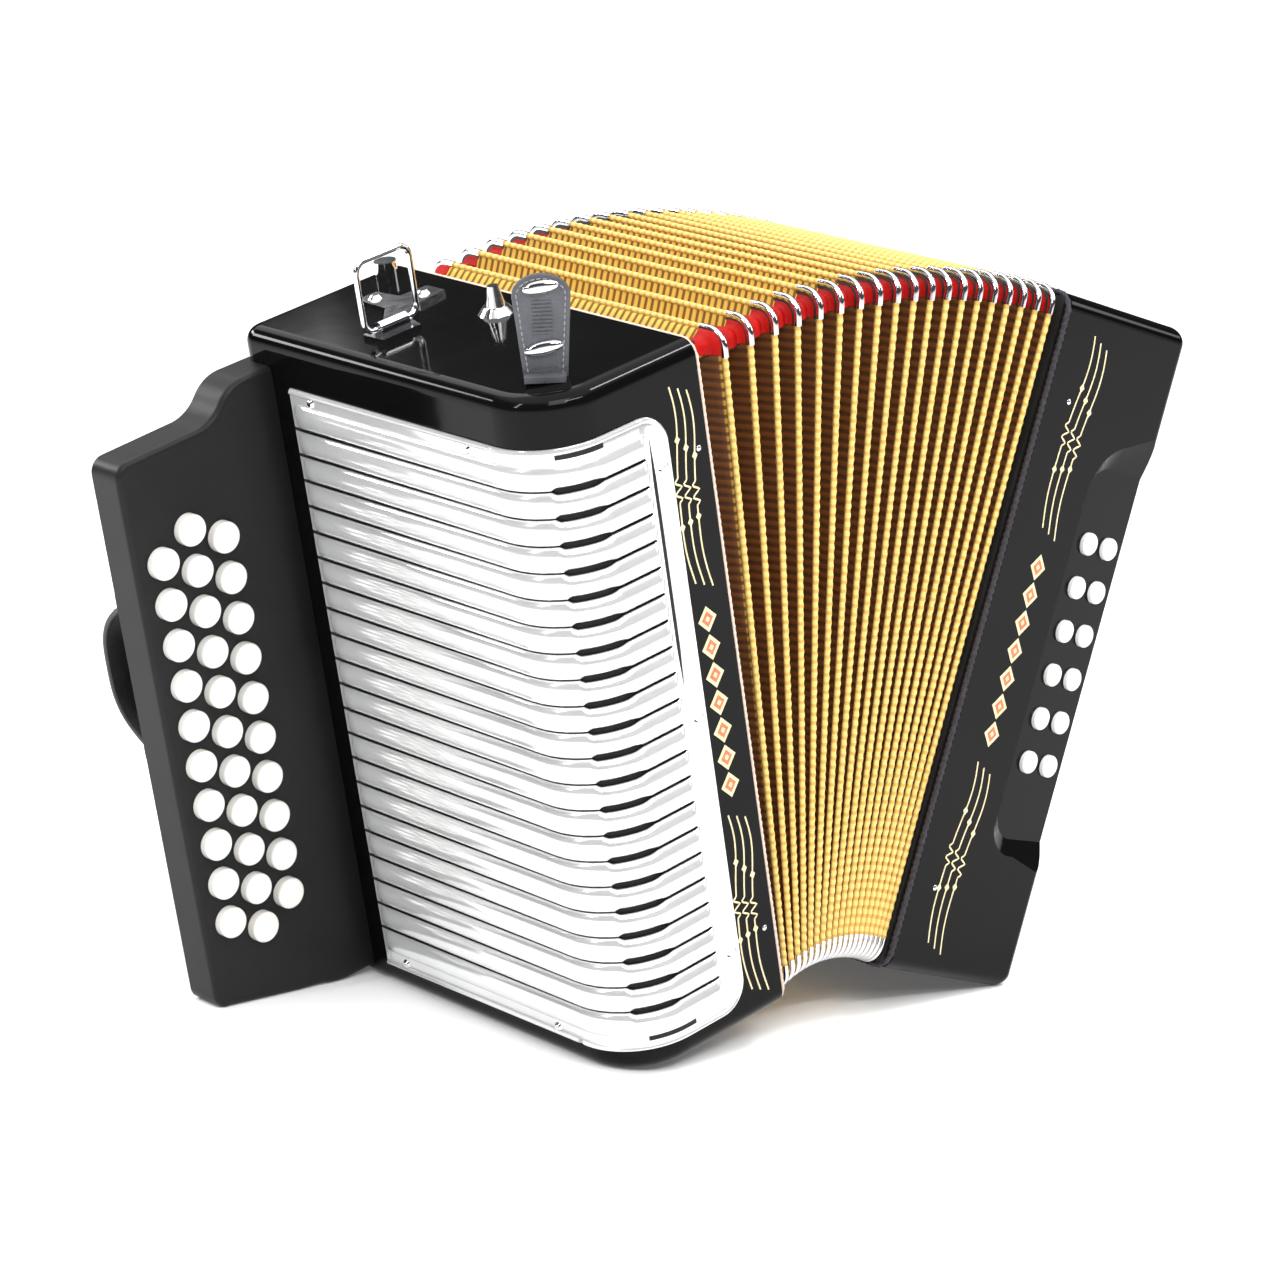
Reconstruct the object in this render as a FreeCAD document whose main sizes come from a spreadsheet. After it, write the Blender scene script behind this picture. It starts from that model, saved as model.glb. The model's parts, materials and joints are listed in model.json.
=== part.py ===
import FreeCAD, Part
import math
import os
import re

from FreeCAD import Placement, Rotation, Vector

# A three-row button accordion. It stands on the outer bottom edges of its two end boxes, with the
# bellows fanned open at the top. Millimetres, +Z up, +X from the treble end towards the bass end,
# +Y from the front towards the back. The origin is under the middle of the overall box.
#
# Every piece of an end is modelled upright in that end's own frame: x is 0 on the face that meets
# the bellows and grows towards the bass, y is 0 on the front face and z is 0 on the bottom face.
# The end's placement then leans it outwards.

SIZES = {
    "height": 310,  # end boxes
    "depth": 196,
    "treble_thick": 86,
    "bass_thick": 82.5,
    "wall": 6,
    "gap_width": 65,  # between the two boxes, at the bottom
    "treble_lean": 14,  # degrees
    "bass_lean": 17,
    "front_round": 30,  # treble case's front outer corner
    "back_round": 9,
    "bass_round": 4,
    "rim_round": 7,  # top and bottom outer edges of both cases
    "origin_x": 0,
    "origin_y": 0,
    "board_front": 176,  # fingerboard
    "board_thick": 19,
    "board_reach": 86.5,
    "board_top": 295.5,
    "board_wall": 4,
    "treble_button_dia": 14,
    "treble_button_long": 14,
    "treble_button_out": 5,
    "treble_travel": 3.5,
    "treble_pitch": 19,
    "treble_row_pitch": 16.3,
    "treble_row_reach": 73,  # outermost row, from the case's outer face
    "treble_first_z": 241.8,
    "bass_button_dia": 10.4,
    "bass_button_long": 10,
    "bass_button_out": 2.6,
    "bass_pitch": 20.4,
    "bass_column_pitch": 15.4,
    "bass_column_x": 56.5,
    "bass_first_z": 205.5,
    "bore_clearance": 0.08,
    "recess_depth": 2.5,  # hand recess on the bass case
    "recess_slope": 4,  # degrees
    "recess_x": 43,
    "grille_sheet": 1.2,
    "grille_low": 11,
    "grille_high": 288,
    "grille_back": 164,
    "grille_front_x": 22,
    "rib_count": 22,
    "rib_pitch": 12,
    "rib_rise": 2.6,
    "rib_first_z": 18,
    "fold_count": 19,
    "fold_depth": 17,
    "fold_front": 3.8,
    "fold_back": 190.5,
    "fold_low": 0.6,  # above the boxes' bottom faces
    "fold_high": 1.2,  # above the boxes' top faces, at the bass end
    "fold_drop": 5.8,  # the folds sit this much lower next to the treble end
    "first_ridge": 0.064,  # shares of the way from treble to bass
    "last_ridge": 0.977,
    "ridge_spread": 0.154,  # extra spacing towards the treble end
    "ridge_corner": 4,
    "valley_corner": 10,
    "skin_thick": 2.4,
    "fan_bulge": 0.17,
    "fan_skew": 0.16,
    "frame_thick": 3,
    "hinge_below": 7,  # the fan turns this far below the boxes' bottom faces
    "cap_leg": 13.5,  # metal corner caps on the folds
    "cap_wide": 2.2,
    "cap_thick": 0.8,
    "air_button_dia": 15,
    "air_button_long": 15,
    "air_button_out": 5,
    "air_button_x": 60,
    "air_button_z": 214,
    "bail_wire": 2.6,
    "bail_wide": 29,
    "bail_tall": 31,
    "bail_x": 57.5,
    "bail_y": 124,
    "strap_thick": 2.5,
}

doc = FreeCAD.newDocument("accordion")
sheet = doc.addObject("Spreadsheet::Sheet", "Sizes")
for row, (alias, value) in enumerate(SIZES.items(), start=1):
    sheet.set(f"A{row}", alias)
    sheet.set(f"B{row}", str(value))
    sheet.setAlias(f"B{row}", alias)
doc.recompute()

NODES = []


def size(alias):
    """A driving dimension, read from the sheet."""
    return float(sheet.get(alias))


def formula(text):
    """An expression in which every sheet alias is spelt out in full."""
    return re.sub(r"[a-z][a-z_]+", lambda m: "Sizes." + m[0] if m[0] in SIZES else m[0], str(text))


def bind(thing, **properties):
    """Bind properties of an object to expressions over the sheet."""
    for name, text in properties.items():
        thing.setExpression(name, formula(text))


def seat(thing, x, y, z):
    """Bind an object's position in its end's frame."""
    for axis, text in zip("xyz", (x, y, z)):
        thing.setExpression(".Placement.Base." + axis, formula(text))


def box(name, length, width, height, x, y, z):
    thing = doc.addObject("Part::Box", name)
    bind(thing, Length=length, Width=width, Height=height)
    seat(thing, x, y, z)
    return thing


def rod(name, radius, height, x, y, z, axis=Vector(0, 0, 1)):
    """A cylinder that starts at (x, y, z) and runs along axis."""
    thing = doc.addObject("Part::Cylinder", name)
    bind(thing, Radius=radius, Height=height)
    thing.Placement = Placement(Vector(), Rotation(Vector(0, 0, 1), axis))
    seat(thing, x, y, z)
    return thing


def cut(name, base, tool):
    thing = doc.addObject("Part::Cut", name)
    thing.Base = base
    thing.Tool = tool
    return thing


def fuse(name, things):
    thing = doc.addObject("Part::MultiFuse", name)
    thing.Shapes = things
    return thing


def made(name, shape):
    """A feature whose shape comes from Part's own functions."""
    thing = doc.addObject("Part::Feature", name)
    thing.Shape = shape
    return thing


def rounded(name, base, radius, wanted):
    """Fillet the edges of base whose every point passes the test."""
    doc.recompute()
    thing = doc.addObject("Part::Fillet", name)
    thing.Base = base
    chosen = []
    for number, edge in enumerate(base.Shape.Edges, start=1):
        points = edge.discretize(5)
        if all(wanted(point) for point in points):
            chosen.append((number, radius, radius))
    thing.Edges = chosen
    return thing


def near(a, b):
    return abs(a - b) < 0.01


def lower_by(lean, thick):
    """Height of an end's inner bottom edge above the ground its rounded outer edge rests on."""
    turn = math.radians(lean)
    rim = size("rim_round")
    return (thick - rim) * math.sin(turn) - rim * math.cos(turn) + rim


def node(label, parts, side):
    """Put one or more objects into the assembly as the sub-part called label."""
    thing = doc.addObject("Part::Compound", label)
    thing.Label = label
    thing.Links = parts
    lean = f"{side}_lean"
    thick = f"{side}_thick"
    sign = -1 if side == "treble" else 1
    thing.Placement = Placement(Vector(), Rotation(Vector(0, 1, 0), sign * size(lean)))
    rim = "rim_round"
    low = f"({thick} - {rim}) * sin({lean} * 1deg) - {rim} * cos({lean} * 1deg) + {rim}"
    bind(thing, **{
        ".Placement.Base.x": f"{sign} * gap_width / 2 - origin_x",
        ".Placement.Base.y": "-depth / 2 - origin_y",
        ".Placement.Base.z": low,
    })
    NODES.append(thing)
    return thing


def polygon(points):
    return Part.makePolygon(points + points[:1])


# ---------------------------------------------------------------- treble end

def treble_block():
    """Outer form of the treble case."""
    wide = size("treble_thick")
    deep = size("depth")
    tall = size("height")
    block = box("treble_block", "treble_thick", "depth", "height", "-treble_thick", 0, 0)
    front = rounded("treble_front_round", block, size("front_round"),
                    lambda p: near(p.x, -wide) and near(p.y, 0))
    back = rounded("treble_back_round", front, size("back_round"),
                   lambda p: near(p.x, -wide) and near(p.y, deep))
    return rounded("treble_rim_round", back, size("rim_round"),
                   lambda p: (near(p.z, 0) or near(p.z, tall)) and p.x < 0.01
                   and not (near(p.x, 0) and 0.01 < p.y < deep - 0.01))


def treble_case():
    """Case: a front corner chamber behind the grille, and a reed chamber open to the bellows."""
    outer = treble_block()
    chamber = box("reed_chamber", "treble_thick - wall - 26", "depth - 2 * wall",
                  "height - 2 * wall", "-(treble_thick - wall - 26)", "wall", "wall")
    action = box("action_chamber", "20", "depth - 2 * wall", "height - 2 * wall",
                 "-(treble_thick - wall)", "wall", "wall")
    inner = size("front_round") - size("wall")
    action_round = rounded("action_chamber_round", action, min(inner, 19.5),
                           lambda p: near(p.x, -(size("treble_thick") - size("wall")))
                           and near(p.y, size("wall")))
    window = box("grille_window", "32", "grille_back - 12", "rib_count * rib_pitch - 16",
                 "-treble_thick - 1", "-1", "rib_first_z + 8")
    keep = box("window_stop", "14", "grille_back", "height", "-66", "wall", "0")
    opening = cut("grille_opening", window, keep)
    hollow = fuse("treble_hollow", [chamber, action_round, opening])
    node("treble_case", [cut("treble_shell", outer, hollow)], "treble")
    return outer


def grille_path_shape(profile_of, start_back, end_x):
    """Sweep a profile along the outer face, round the front corner and along the front face.

    profile_of() gives a face in the x-z plane, with x as the distance out from the case.
    """
    wide = size("treble_thick")
    turn = size("front_round")
    along = profile_of()
    along.rotate(Vector(), Vector(0, 0, 1), 180)
    along.translate(Vector(-wide, turn, 0))
    side = along.extrude(Vector(0, start_back - turn, 0))
    corner = along.revolve(Vector(-wide + turn, turn, 0), Vector(0, 0, 1), 90)
    front_face = along.copy()
    front_face.rotate(Vector(-wide + turn, turn, 0), Vector(0, 0, 1), 90)
    front = front_face.extrude(Vector(wide - turn - end_x, 0, 0))
    return side.multiFuse([corner, front])


def sheet_profile():
    """Flat sheet of the grille."""
    low = size("grille_low")
    high = size("grille_high")
    out = size("grille_sheet")
    points = [Vector(0, 0, low), Vector(out, 0, low), Vector(out, 0, high), Vector(0, 0, high)]
    return Part.Face(polygon(points))


def rib_profile(low_z):
    """One half-round rib, standing on the sheet."""
    half = size("rib_pitch") * 0.43
    middle = low_z + size("rib_pitch") / 2
    base = size("grille_sheet") * 0.5
    crest = size("grille_sheet") + size("rib_rise")
    arc = Part.Arc(Vector(base, 0, middle - half), Vector(crest, 0, middle),
                   Vector(base, 0, middle + half)).toShape()
    chord = Part.makeLine(Vector(base, 0, middle + half), Vector(base, 0, middle - half))
    return Part.Face(Part.Wire([arc, chord]))


def treble_grille():
    """Ribbed sheet that wraps the front corner, with a sound slot in each groove at the corner."""
    low = size("grille_low")
    high = size("grille_high")
    back = size("grille_back")
    end_x = size("grille_front_x")
    plate = grille_path_shape(sheet_profile, back, end_x)
    ribs = []
    for number in range(int(size("rib_count"))):
        low_z = size("rib_first_z") + number * size("rib_pitch")
        ribs.append(grille_path_shape(lambda: rib_profile(low_z), back - 10, end_x + 11))
    shape = plate.multiFuse(ribs)
    wide = size("treble_thick")
    turn = size("front_round")
    centre = Vector(-wide + turn, turn, 0)
    slots = []
    for number in range(1, int(size("rib_count"))):
        z = size("rib_first_z") + number * size("rib_pitch")
        ring = Part.makeCylinder(turn + 9, 2.4, Vector(centre.x, centre.y, z - 1.2),
                                 Vector(0, 0, 1), 58)
        ring = ring.cut(Part.makeCylinder(turn - 4, 4, Vector(centre.x, centre.y, z - 2)))
        ring.rotate(centre, Vector(0, 0, 1), 196)
        slots.append(ring)
    shape = shape.cut(Part.makeCompound(slots))
    corners = []
    for z, turn_up in ((low, 1), (high, -1)):
        square = Part.makeBox(16, 8, 14, Vector(-end_x - 14, -7, z if turn_up > 0 else z - 14))
        disc = Part.makeCylinder(14, 8, Vector(-end_x - 14, -7, z + 14 * turn_up), Vector(0, 1, 0))
        corners.append(square.cut(disc))
    shape = shape.cut(Part.makeCompound(corners))
    node("treble_grille", [made("grille_shape", shape)], "treble")


def grille_screws():
    """Domed screws in the grille's flat border."""
    skin = size("treble_thick") + size("grille_sheet")
    high = size("grille_high") - 4
    low = size("grille_low") + 3.6
    places = [(-skin, y, z, Vector(-1, 0, 0)) for y in (48, 150) for z in (low, high)]
    front = -size("grille_sheet")
    border = -size("grille_front_x") - 5
    places += [(border, front, z, Vector(0, -1, 0)) for z in (36, 148, 262)]
    heads = []
    for number, (x, y, z, out) in enumerate(places, start=1):
        cone = doc.addObject("Part::Cone", f"grille_screw_{number}")
        cone.Radius1 = 2.3
        cone.Radius2 = 1.2
        cone.Height = 1.1
        cone.Placement = Placement(Vector(x, y, z), Rotation(Vector(0, 0, 1), out))
        heads.append(cone)
    node("grille_screws", heads, "treble")


def treble_button_places():
    """Centres of the treble buttons on the fingerboard's face, as (x, z), row by row."""
    outer = -size("treble_thick") - size("treble_row_reach")
    places = []
    for row, count in enumerate((10, 11, 10)):
        drop = 0 if count == 11 else size("treble_pitch") / 2
        for number in range(count):
            x = outer + row * size("treble_row_pitch")
            z = size("treble_first_z") - drop - number * size("treble_pitch")
            places.append((x, z))
    return places


def board_sketch(body):
    """Fingerboard outline: a tall panel with an S-shaped shoulder at each end of its root."""
    sketch = body.newObject("Sketcher::SketchObject", "board_outline")
    plane = next(f for f in body.Origin.OriginFeatures if f.Role == "XZ_Plane")
    sketch.AttachmentSupport = [(plane, "")]
    sketch.MapMode = "FlatFace"
    root = -size("treble_thick") + 12
    face = -size("treble_thick")
    tip = face - size("board_reach")
    top = size("board_top")
    shoulder = face - 15
    elbow = face - 42
    upper = top - 14
    low_root = 6
    low_elbow = 12
    low_tip = 21.5
    curl = 7
    middle = (shoulder + elbow) / 2
    outline = [
        ("line", (root, low_root), (root, top)),
        ("line", (root, top), (shoulder, top)),
        ("arc", (shoulder, top), ((shoulder * 3 + elbow) / 4, top - 1.7), (middle, top - 7)),
        ("arc", (middle, top - 7), ((shoulder + elbow * 3) / 4, upper + 1.7), (elbow, upper)),
        ("line", (elbow, upper), (tip + curl, upper - 1)),
        ("arc", (tip + curl, upper - 1), (tip + 2, upper - 3), (tip, upper - 1 - curl)),
        ("line", (tip, upper - 1 - curl), (tip, low_tip + curl)),
        ("arc", (tip, low_tip + curl), (tip + 2, low_tip + 2), (tip + curl, low_tip)),
        ("line", (tip + curl, low_tip), (elbow, low_elbow)),
        ("arc", (elbow, low_elbow), ((shoulder + elbow * 3) / 4, low_elbow - 1.2), (middle, 9.2)),
        ("arc", (middle, 9.2), ((shoulder * 3 + elbow) / 4, low_root + 1), (shoulder, low_root)),
        ("line", (shoulder, low_root), (root, low_root)),
    ]
    for kind, *points in outline:
        flat = [Vector(x, z, 0) for x, z in points]
        if kind == "line":
            sketch.addGeometry(Part.LineSegment(*flat), False)
        else:
            sketch.addGeometry(Part.Arc(*flat), False)
    return sketch


def fingerboard(case_block):
    """Fingerboard: a hollow housing with a bore for each button, let on to the case."""
    body = doc.addObject("PartDesign::Body", "board_body")
    sketch = board_sketch(body)
    pad = body.newObject("PartDesign::Pad", "board_pad")
    pad.Profile = sketch
    bind(pad, Length="board_thick")
    pad.Reversed = True
    seat(body, 0, "board_front", 0)
    doc.recompute()
    low = min(v.Point.y for v in pad.Shape.Vertexes)
    rim = []
    for number, edge in enumerate(pad.Shape.Edges, start=1):
        points = edge.discretize(5)
        flat = all(near(p.y, low) for p in points)
        clear = all(p.x < -size("treble_thick") + 11.9 for p in points)
        if flat and clear:
            rim.append(f"Edge{number}")
    fillet = body.newObject("PartDesign::Fillet", "board_rim")
    fillet.Base = (pad, rim)
    fillet.Radius = 2.5
    body.Tip = fillet
    cavity = box("board_cavity", "board_reach - 12", "board_thick - 2 * board_wall - 2",
                 "board_top - 70", "-treble_thick - board_reach + 7",
                 "board_front + board_wall + 2", "44")
    bores = []
    radius = size("treble_button_dia") / 2 + size("bore_clearance")
    for number, (x, z) in enumerate(treble_button_places(), start=1):
        bore = rod(f"treble_bore_{number}", radius,
                   "treble_button_long - treble_button_out + treble_travel + 2", x,
                   "board_front - 1", z, Vector(0, 1, 0))
        bores.append(bore)
    hollow = fuse("board_hollow", [cavity] + bores)
    drilled = cut("board_drilled", body, hollow)
    node("fingerboard", [cut("board_fitted", drilled, case_block)], "treble")


def treble_buttons():
    for number, (x, z) in enumerate(treble_button_places(), start=1):
        stem = rod(f"treble_button_stem_{number}", "treble_button_dia / 2", "treble_button_long",
                   x, "board_front - treble_button_out", z, Vector(0, 1, 0))
        top = size("board_front") - size("treble_button_out")
        domed = rounded(f"treble_button_dome_{number}", stem, 1.8, lambda p: near(p.y, top))
        node(f"treble_button_{number:02d}", [domed], "treble")


def arch(start, foot, span, rise, thick):
    """Closed profile of a strap that lies flat at both ends and arches between, in the x-y plane.

    It runs along +x from x = start and rises along +y from y = 0.
    """
    def side(lift):
        a = Vector(start, lift, 0)
        b = Vector(start + foot, lift, 0)
        c = Vector(start + foot + span / 2, rise + lift, 0)
        d = Vector(start + foot + span, lift, 0)
        e = Vector(start + 2 * foot + span, lift, 0)
        curve = Part.BSplineCurve()
        knots = [b, b + Vector(span * 0.07, rise * 0.5, 0), b + Vector(span * 0.22, rise * 0.92, 0),
                 c, d + Vector(-span * 0.22, rise * 0.92, 0), d + Vector(-span * 0.07, rise * 0.5, 0),
                 d]
        curve.interpolate(Points=knots, InitialTangent=knots[1] - b, FinalTangent=d - knots[-2])
        return a, e, [Part.makeLine(a, b), curve.toShape(), Part.makeLine(d, e)]
    a, e, lower = side(0.0)
    a_top, e_top, upper = side(thick)
    edges = lower + [Part.makeLine(e, e_top)] + upper + [Part.makeLine(a_top, a)]
    return Part.Face(Part.Wire(Part.__sortEdges__(edges)))


def thumb_strap():
    """Leather loop for the thumb, behind the fingerboard's free edge."""
    width = 24
    profile = arch(140, 8, 62, 17, size("strap_thick"))
    band = profile.extrude(Vector(0, 0, width))
    # profile x runs up the board, profile y away from its back
    turn = FreeCAD.Matrix(0, 0, 1, 0, 0, 1, 0, 0, 1, 0, 0, 0, 0, 0, 0, 1)
    band = band.transformGeometry(turn)
    outer = -size("treble_thick") - size("board_reach") + 1
    back = size("board_front") + size("board_thick")
    band.translate(Vector(outer, back, 0))
    node("thumb_strap", [made("thumb_strap_shape", band)], "treble")


def reed_blocks(label, side, places, reach, low_z, tall):
    """Wooden blocks on the action board, each hollowed by a row of reed chambers."""
    blocks = []
    clear = 8  # from the bellows face
    thick = 18
    wall = 4
    count = 8
    pitch = (tall - 12) / count
    x = -reach if side == "treble" else clear
    for number, y in enumerate(places, start=1):
        front = y - thick / 2
        start = box(f"{label}_{number}", reach - clear, thick, tall, x, front, low_z)
        chambers = []
        for step in range(count):
            z = low_z + 2 * wall + step * pitch
            chambers.append(box(f"{label}_{number}_room_{step}", reach - clear - 2 * wall, 12,
                                pitch - wall, x + wall, front - 1, z))
        hollow = fuse(f"{label}_{number}_rooms", chambers)
        blocks.append(cut(f"{label}_{number}_block", start, hollow))
    node(label, blocks, side)


def bellows_frame(label, side):
    """Frame that carries the bellows' last fold on the case's open face."""
    x = "0" if side == "treble" else "-frame_thick"
    outer = box(f"{label}_outer", "frame_thick", "depth - 6", "height - 4", x, "3", "2")
    inner = box(f"{label}_inner", "frame_thick + 2", "depth - 2 * fold_depth - 10",
                "height - 2 * fold_depth - 8", f"{x} - 1", "fold_depth + 5", "fold_depth + 4")
    node(label, [cut(f"{label}_ring", outer, inner)], side)


def strap_hardware():
    """Shoulder-strap bracket with its knuckle, the strap stud and a small knob, on the top face."""
    top = size("height")
    outline = [(-68, 118), (-68, 131), (-54, 135), (-42, 148), (-41, 168), (-30, 168), (-29, 154),
               (-14, 153), (-14, 141), (-30, 139), (-45, 126), (-47, 118)]
    plate = Part.Face(polygon([Vector(x, y, top) for x, y in outline])).extrude(Vector(0, 0, 2))
    axis_z = top + 4.8
    knuckle = Part.makeCylinder(3, 15, Vector(-65, size("bail_y"), axis_z), Vector(1, 0, 0))
    foot = Part.makeBox(15, 6, 3.6, Vector(-65, size("bail_y") - 3, top + 1))
    bore_radius = size("bail_wire") / 2 + size("bore_clearance")
    bore = Part.makeCylinder(bore_radius, 20, Vector(-68, size("bail_y"), axis_z), Vector(1, 0, 0))
    screws = [Part.makeCone(3.4, 1.8, 1.6, Vector(x, y, top + 2)) for x, y in ((-35.5, 162), (-21, 147))]
    bracket = plate.multiFuse([knuckle, foot] + screws).cut(bore)
    stud_base = Part.makeCone(8, 5.5, 3, Vector(-18, 103, top))
    stud_post = Part.makeCone(4.4, 2.4, 9, Vector(-18, 103, top + 3))
    stud = stud_base.fuse(stud_post)
    knob = Part.makeCylinder(5, 7, Vector(-11, 184, top))
    parts = [made("bracket_shape", bracket), made("stud_shape", stud), made("knob_shape", knob)]
    node("strap_hardware", parts, "treble")


def strap_bail():
    """Upright wire ring whose lower side turns in the bracket's knuckle."""
    radius = size("bail_wire") / 2
    turn = 5
    left = -size("bail_x") - size("bail_wide") / 2
    right = left + size("bail_wide")
    low = size("height") + 4.8
    high = low + size("bail_tall")
    y = size("bail_y")

    def at(x, z):
        return Vector(x, y, z)

    slant = turn * (1 - math.sqrt(0.5))
    edges = [
        Part.makeLine(at(left + turn, low), at(right - turn, low)),
        Part.Arc(at(right - turn, low), at(right - slant, low + slant), at(right, low + turn)).toShape(),
        Part.makeLine(at(right, low + turn), at(right, high - turn)),
        Part.Arc(at(right, high - turn), at(right - slant, high - slant),
                 at(right - turn, high)).toShape(),
        Part.makeLine(at(right - turn, high), at(left + turn, high)),
        Part.Arc(at(left + turn, high), at(left + slant, high - slant), at(left, high - turn)).toShape(),
        Part.makeLine(at(left, high - turn), at(left, low + turn)),
        Part.Arc(at(left, low + turn), at(left + slant, low + slant), at(left + turn, low)).toShape(),
    ]
    path = Part.Wire(edges)
    circle = Part.Wire(Part.makeCircle(radius, at(left + turn, low), Vector(1, 0, 0)))
    ring = path.makePipeShell([circle], True, True)
    node("strap_bail", [made("bail_shape", ring)], "treble")


def bellows_strap():
    """Leather tab that stands on the top face and buttons the bellows shut."""
    thick = size("strap_thick")
    tall = 50
    foot_wide = 17
    head_wide = 22
    points = [Vector(-foot_wide / 2, 0, 0), Vector(foot_wide / 2, 0, 0),
              Vector(head_wide / 2, 0, tall - 9)]
    edges = [Part.makeLine(points[0], points[1]), Part.makeLine(points[1], points[2])]
    crown = Part.Arc(points[2], Vector(0, 0, tall), Vector(-head_wide / 2, 0, tall - 9)).toShape()
    edges += [crown, Part.makeLine(Vector(-head_wide / 2, 0, tall - 9), points[0])]
    tab = Part.Face(Part.Wire(edges)).extrude(Vector(0, thick, 0))
    foot = Part.makeBox(foot_wide, 12, thick, Vector(-foot_wide / 2, -12 + thick, 0))
    rivet_low = Part.makeCone(6, 4, 2.4, Vector(0, 0, 14), Vector(0, -1, 0))
    rivet_high = Part.makeCone(6.5, 4.5, 2.4, Vector(0, 0, tall - 9), Vector(0, -1, 0))
    strap = tab.multiFuse([foot, rivet_low, rivet_high])
    strap.rotate(Vector(), Vector(0, 0, 1), -44)
    strap.translate(Vector(-61, 26, size("height")))
    node("bellows_strap", [made("bellows_strap_shape", strap)], "treble")


# ---------------------------------------------------------------- bass end

def recess_y(x):
    """Depth of the hand recess's floor behind the front face."""
    return size("recess_depth") + (x - size("recess_x")) * math.tan(math.radians(size("recess_slope")))


def bass_button_places():
    """Centres of the bass buttons on the recess floor, as (x, y, z)."""
    places = []
    for column in range(2):
        x = size("bass_column_x") + column * size("bass_column_pitch")
        for number in range(6):
            z = size("bass_first_z") - number * size("bass_pitch")
            places.append((x, recess_y(x), z))
    return places


def recess_normal():
    slope = math.radians(size("recess_slope"))
    return Vector(math.sin(slope), -math.cos(slope), 0)


def recess_wire(y_at, left, top, bottom):
    """Closed outline of the recess with two rounded inner corners.

    left is the x of its straight inner side. top and bottom each give the end of that side, the
    middle and the end of the corner's arc, and the height where the outline leaves the case.
    """
    beyond = size("bass_thick") + 6

    def at(x, z):
        return Vector(x, y_at(x), z)

    top_start, top_middle, top_end, top_out = top
    low_start, low_middle, low_end, low_out = bottom
    corners = [at(left, low_start), at(left, top_start), at(*top_end), at(beyond, top_out),
               at(beyond, low_out), at(*low_end)]
    return Part.Wire([
        Part.makeLine(corners[0], corners[1]),
        Part.Arc(corners[1], at(*top_middle), corners[2]).toShape(),
        Part.makeLine(corners[2], corners[3]),
        Part.makeLine(corners[3], corners[4]),
        Part.makeLine(corners[4], corners[5]),
        Part.Arc(corners[5], at(*low_middle), corners[0]).toShape(),
    ])


def hand_recess():
    """Shallow recess with ramped ends, cut into the front outer edge."""
    mouth = recess_wire(lambda x: -0.6, 42, (228, (48, 243.5), (60, 253), 265),
                        (70, (46.5, 63), (60, 59), 51))
    floor = recess_wire(recess_y, 46, (227, (50, 237), (60, 240.5), 239.5),
                        (78, (50, 70.5), (60, 67.5), 69))
    return made("hand_recess", Part.makeLoft([mouth, floor], True, True))


def bass_case():
    """Bass case: button mechanism chamber outside the action board, reed chamber inside."""
    wide = size("bass_thick")
    deep = size("depth")
    tall = size("height")
    block = box("bass_block", "bass_thick", "depth", "height", 0, 0, 0)
    upright = rounded("bass_upright_round", block, size("bass_round"),
                      lambda p: near(p.x, wide) and (near(p.y, 0) or near(p.y, deep)))
    outer = rounded("bass_rim_round", upright, size("rim_round"),
                    lambda p: (near(p.z, 0) or near(p.z, tall)) and p.x > -0.01
                    and not (near(p.x, 0) and 0.01 < p.y < deep - 0.01))
    reeds = box("bass_reed_chamber", "44", "depth - 2 * wall", "height - 2 * wall", "0", "wall",
                "wall")
    action = box("bass_action_chamber", "bass_thick - wall - 49", "depth - 2 * wall - 6",
                 "height - 2 * wall", "49", "wall + 6", "wall")
    bores = []
    radius = size("bass_button_dia") / 2 + size("bore_clearance")
    into = recess_normal().negative()
    for number, (x, y, z) in enumerate(bass_button_places(), start=1):
        bores.append(rod(f"bass_bore_{number}", radius, 14, x - into.x * 4, y - into.y * 4, z, into))
    air_bore = rod("air_bore", size("air_button_dia") / 2 + size("bore_clearance"), "wall + 2",
                   "air_button_x", "depth - wall - 1", "air_button_z", Vector(0, 1, 0))
    hollow = fuse("bass_hollow", [reeds, action, hand_recess(), air_bore] + bores)
    node("bass_case", [cut("bass_shell", outer, hollow)], "bass")


def bass_buttons():
    into = recess_normal().negative()
    out = size("bass_button_out")
    for number, (x, y, z) in enumerate(bass_button_places(), start=1):
        stem = rod(f"bass_button_stem_{number}", "bass_button_dia / 2", "bass_button_long",
                   x - into.x * out, y - into.y * out, z, into)
        top = Vector(x - into.x * out, y - into.y * out, z)
        domed = rounded(f"bass_button_dome_{number}", stem, 1.2,
                        lambda p: abs((p - top).dot(into)) < 0.01)
        node(f"bass_button_{number:02d}", [domed], "bass")


def air_button():
    """Thumb button that lets air in and out of the bellows, on the back of the bass case."""
    top = size("depth") + size("air_button_out")
    stem = rod("air_button_stem", "air_button_dia / 2", "air_button_long", "air_button_x",
               "depth + air_button_out", "air_button_z", Vector(0, -1, 0))
    domed = rounded("air_button_dome", stem, 2.2, lambda p: near(p.y, top))
    node("air_button", [domed], "bass")


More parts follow.
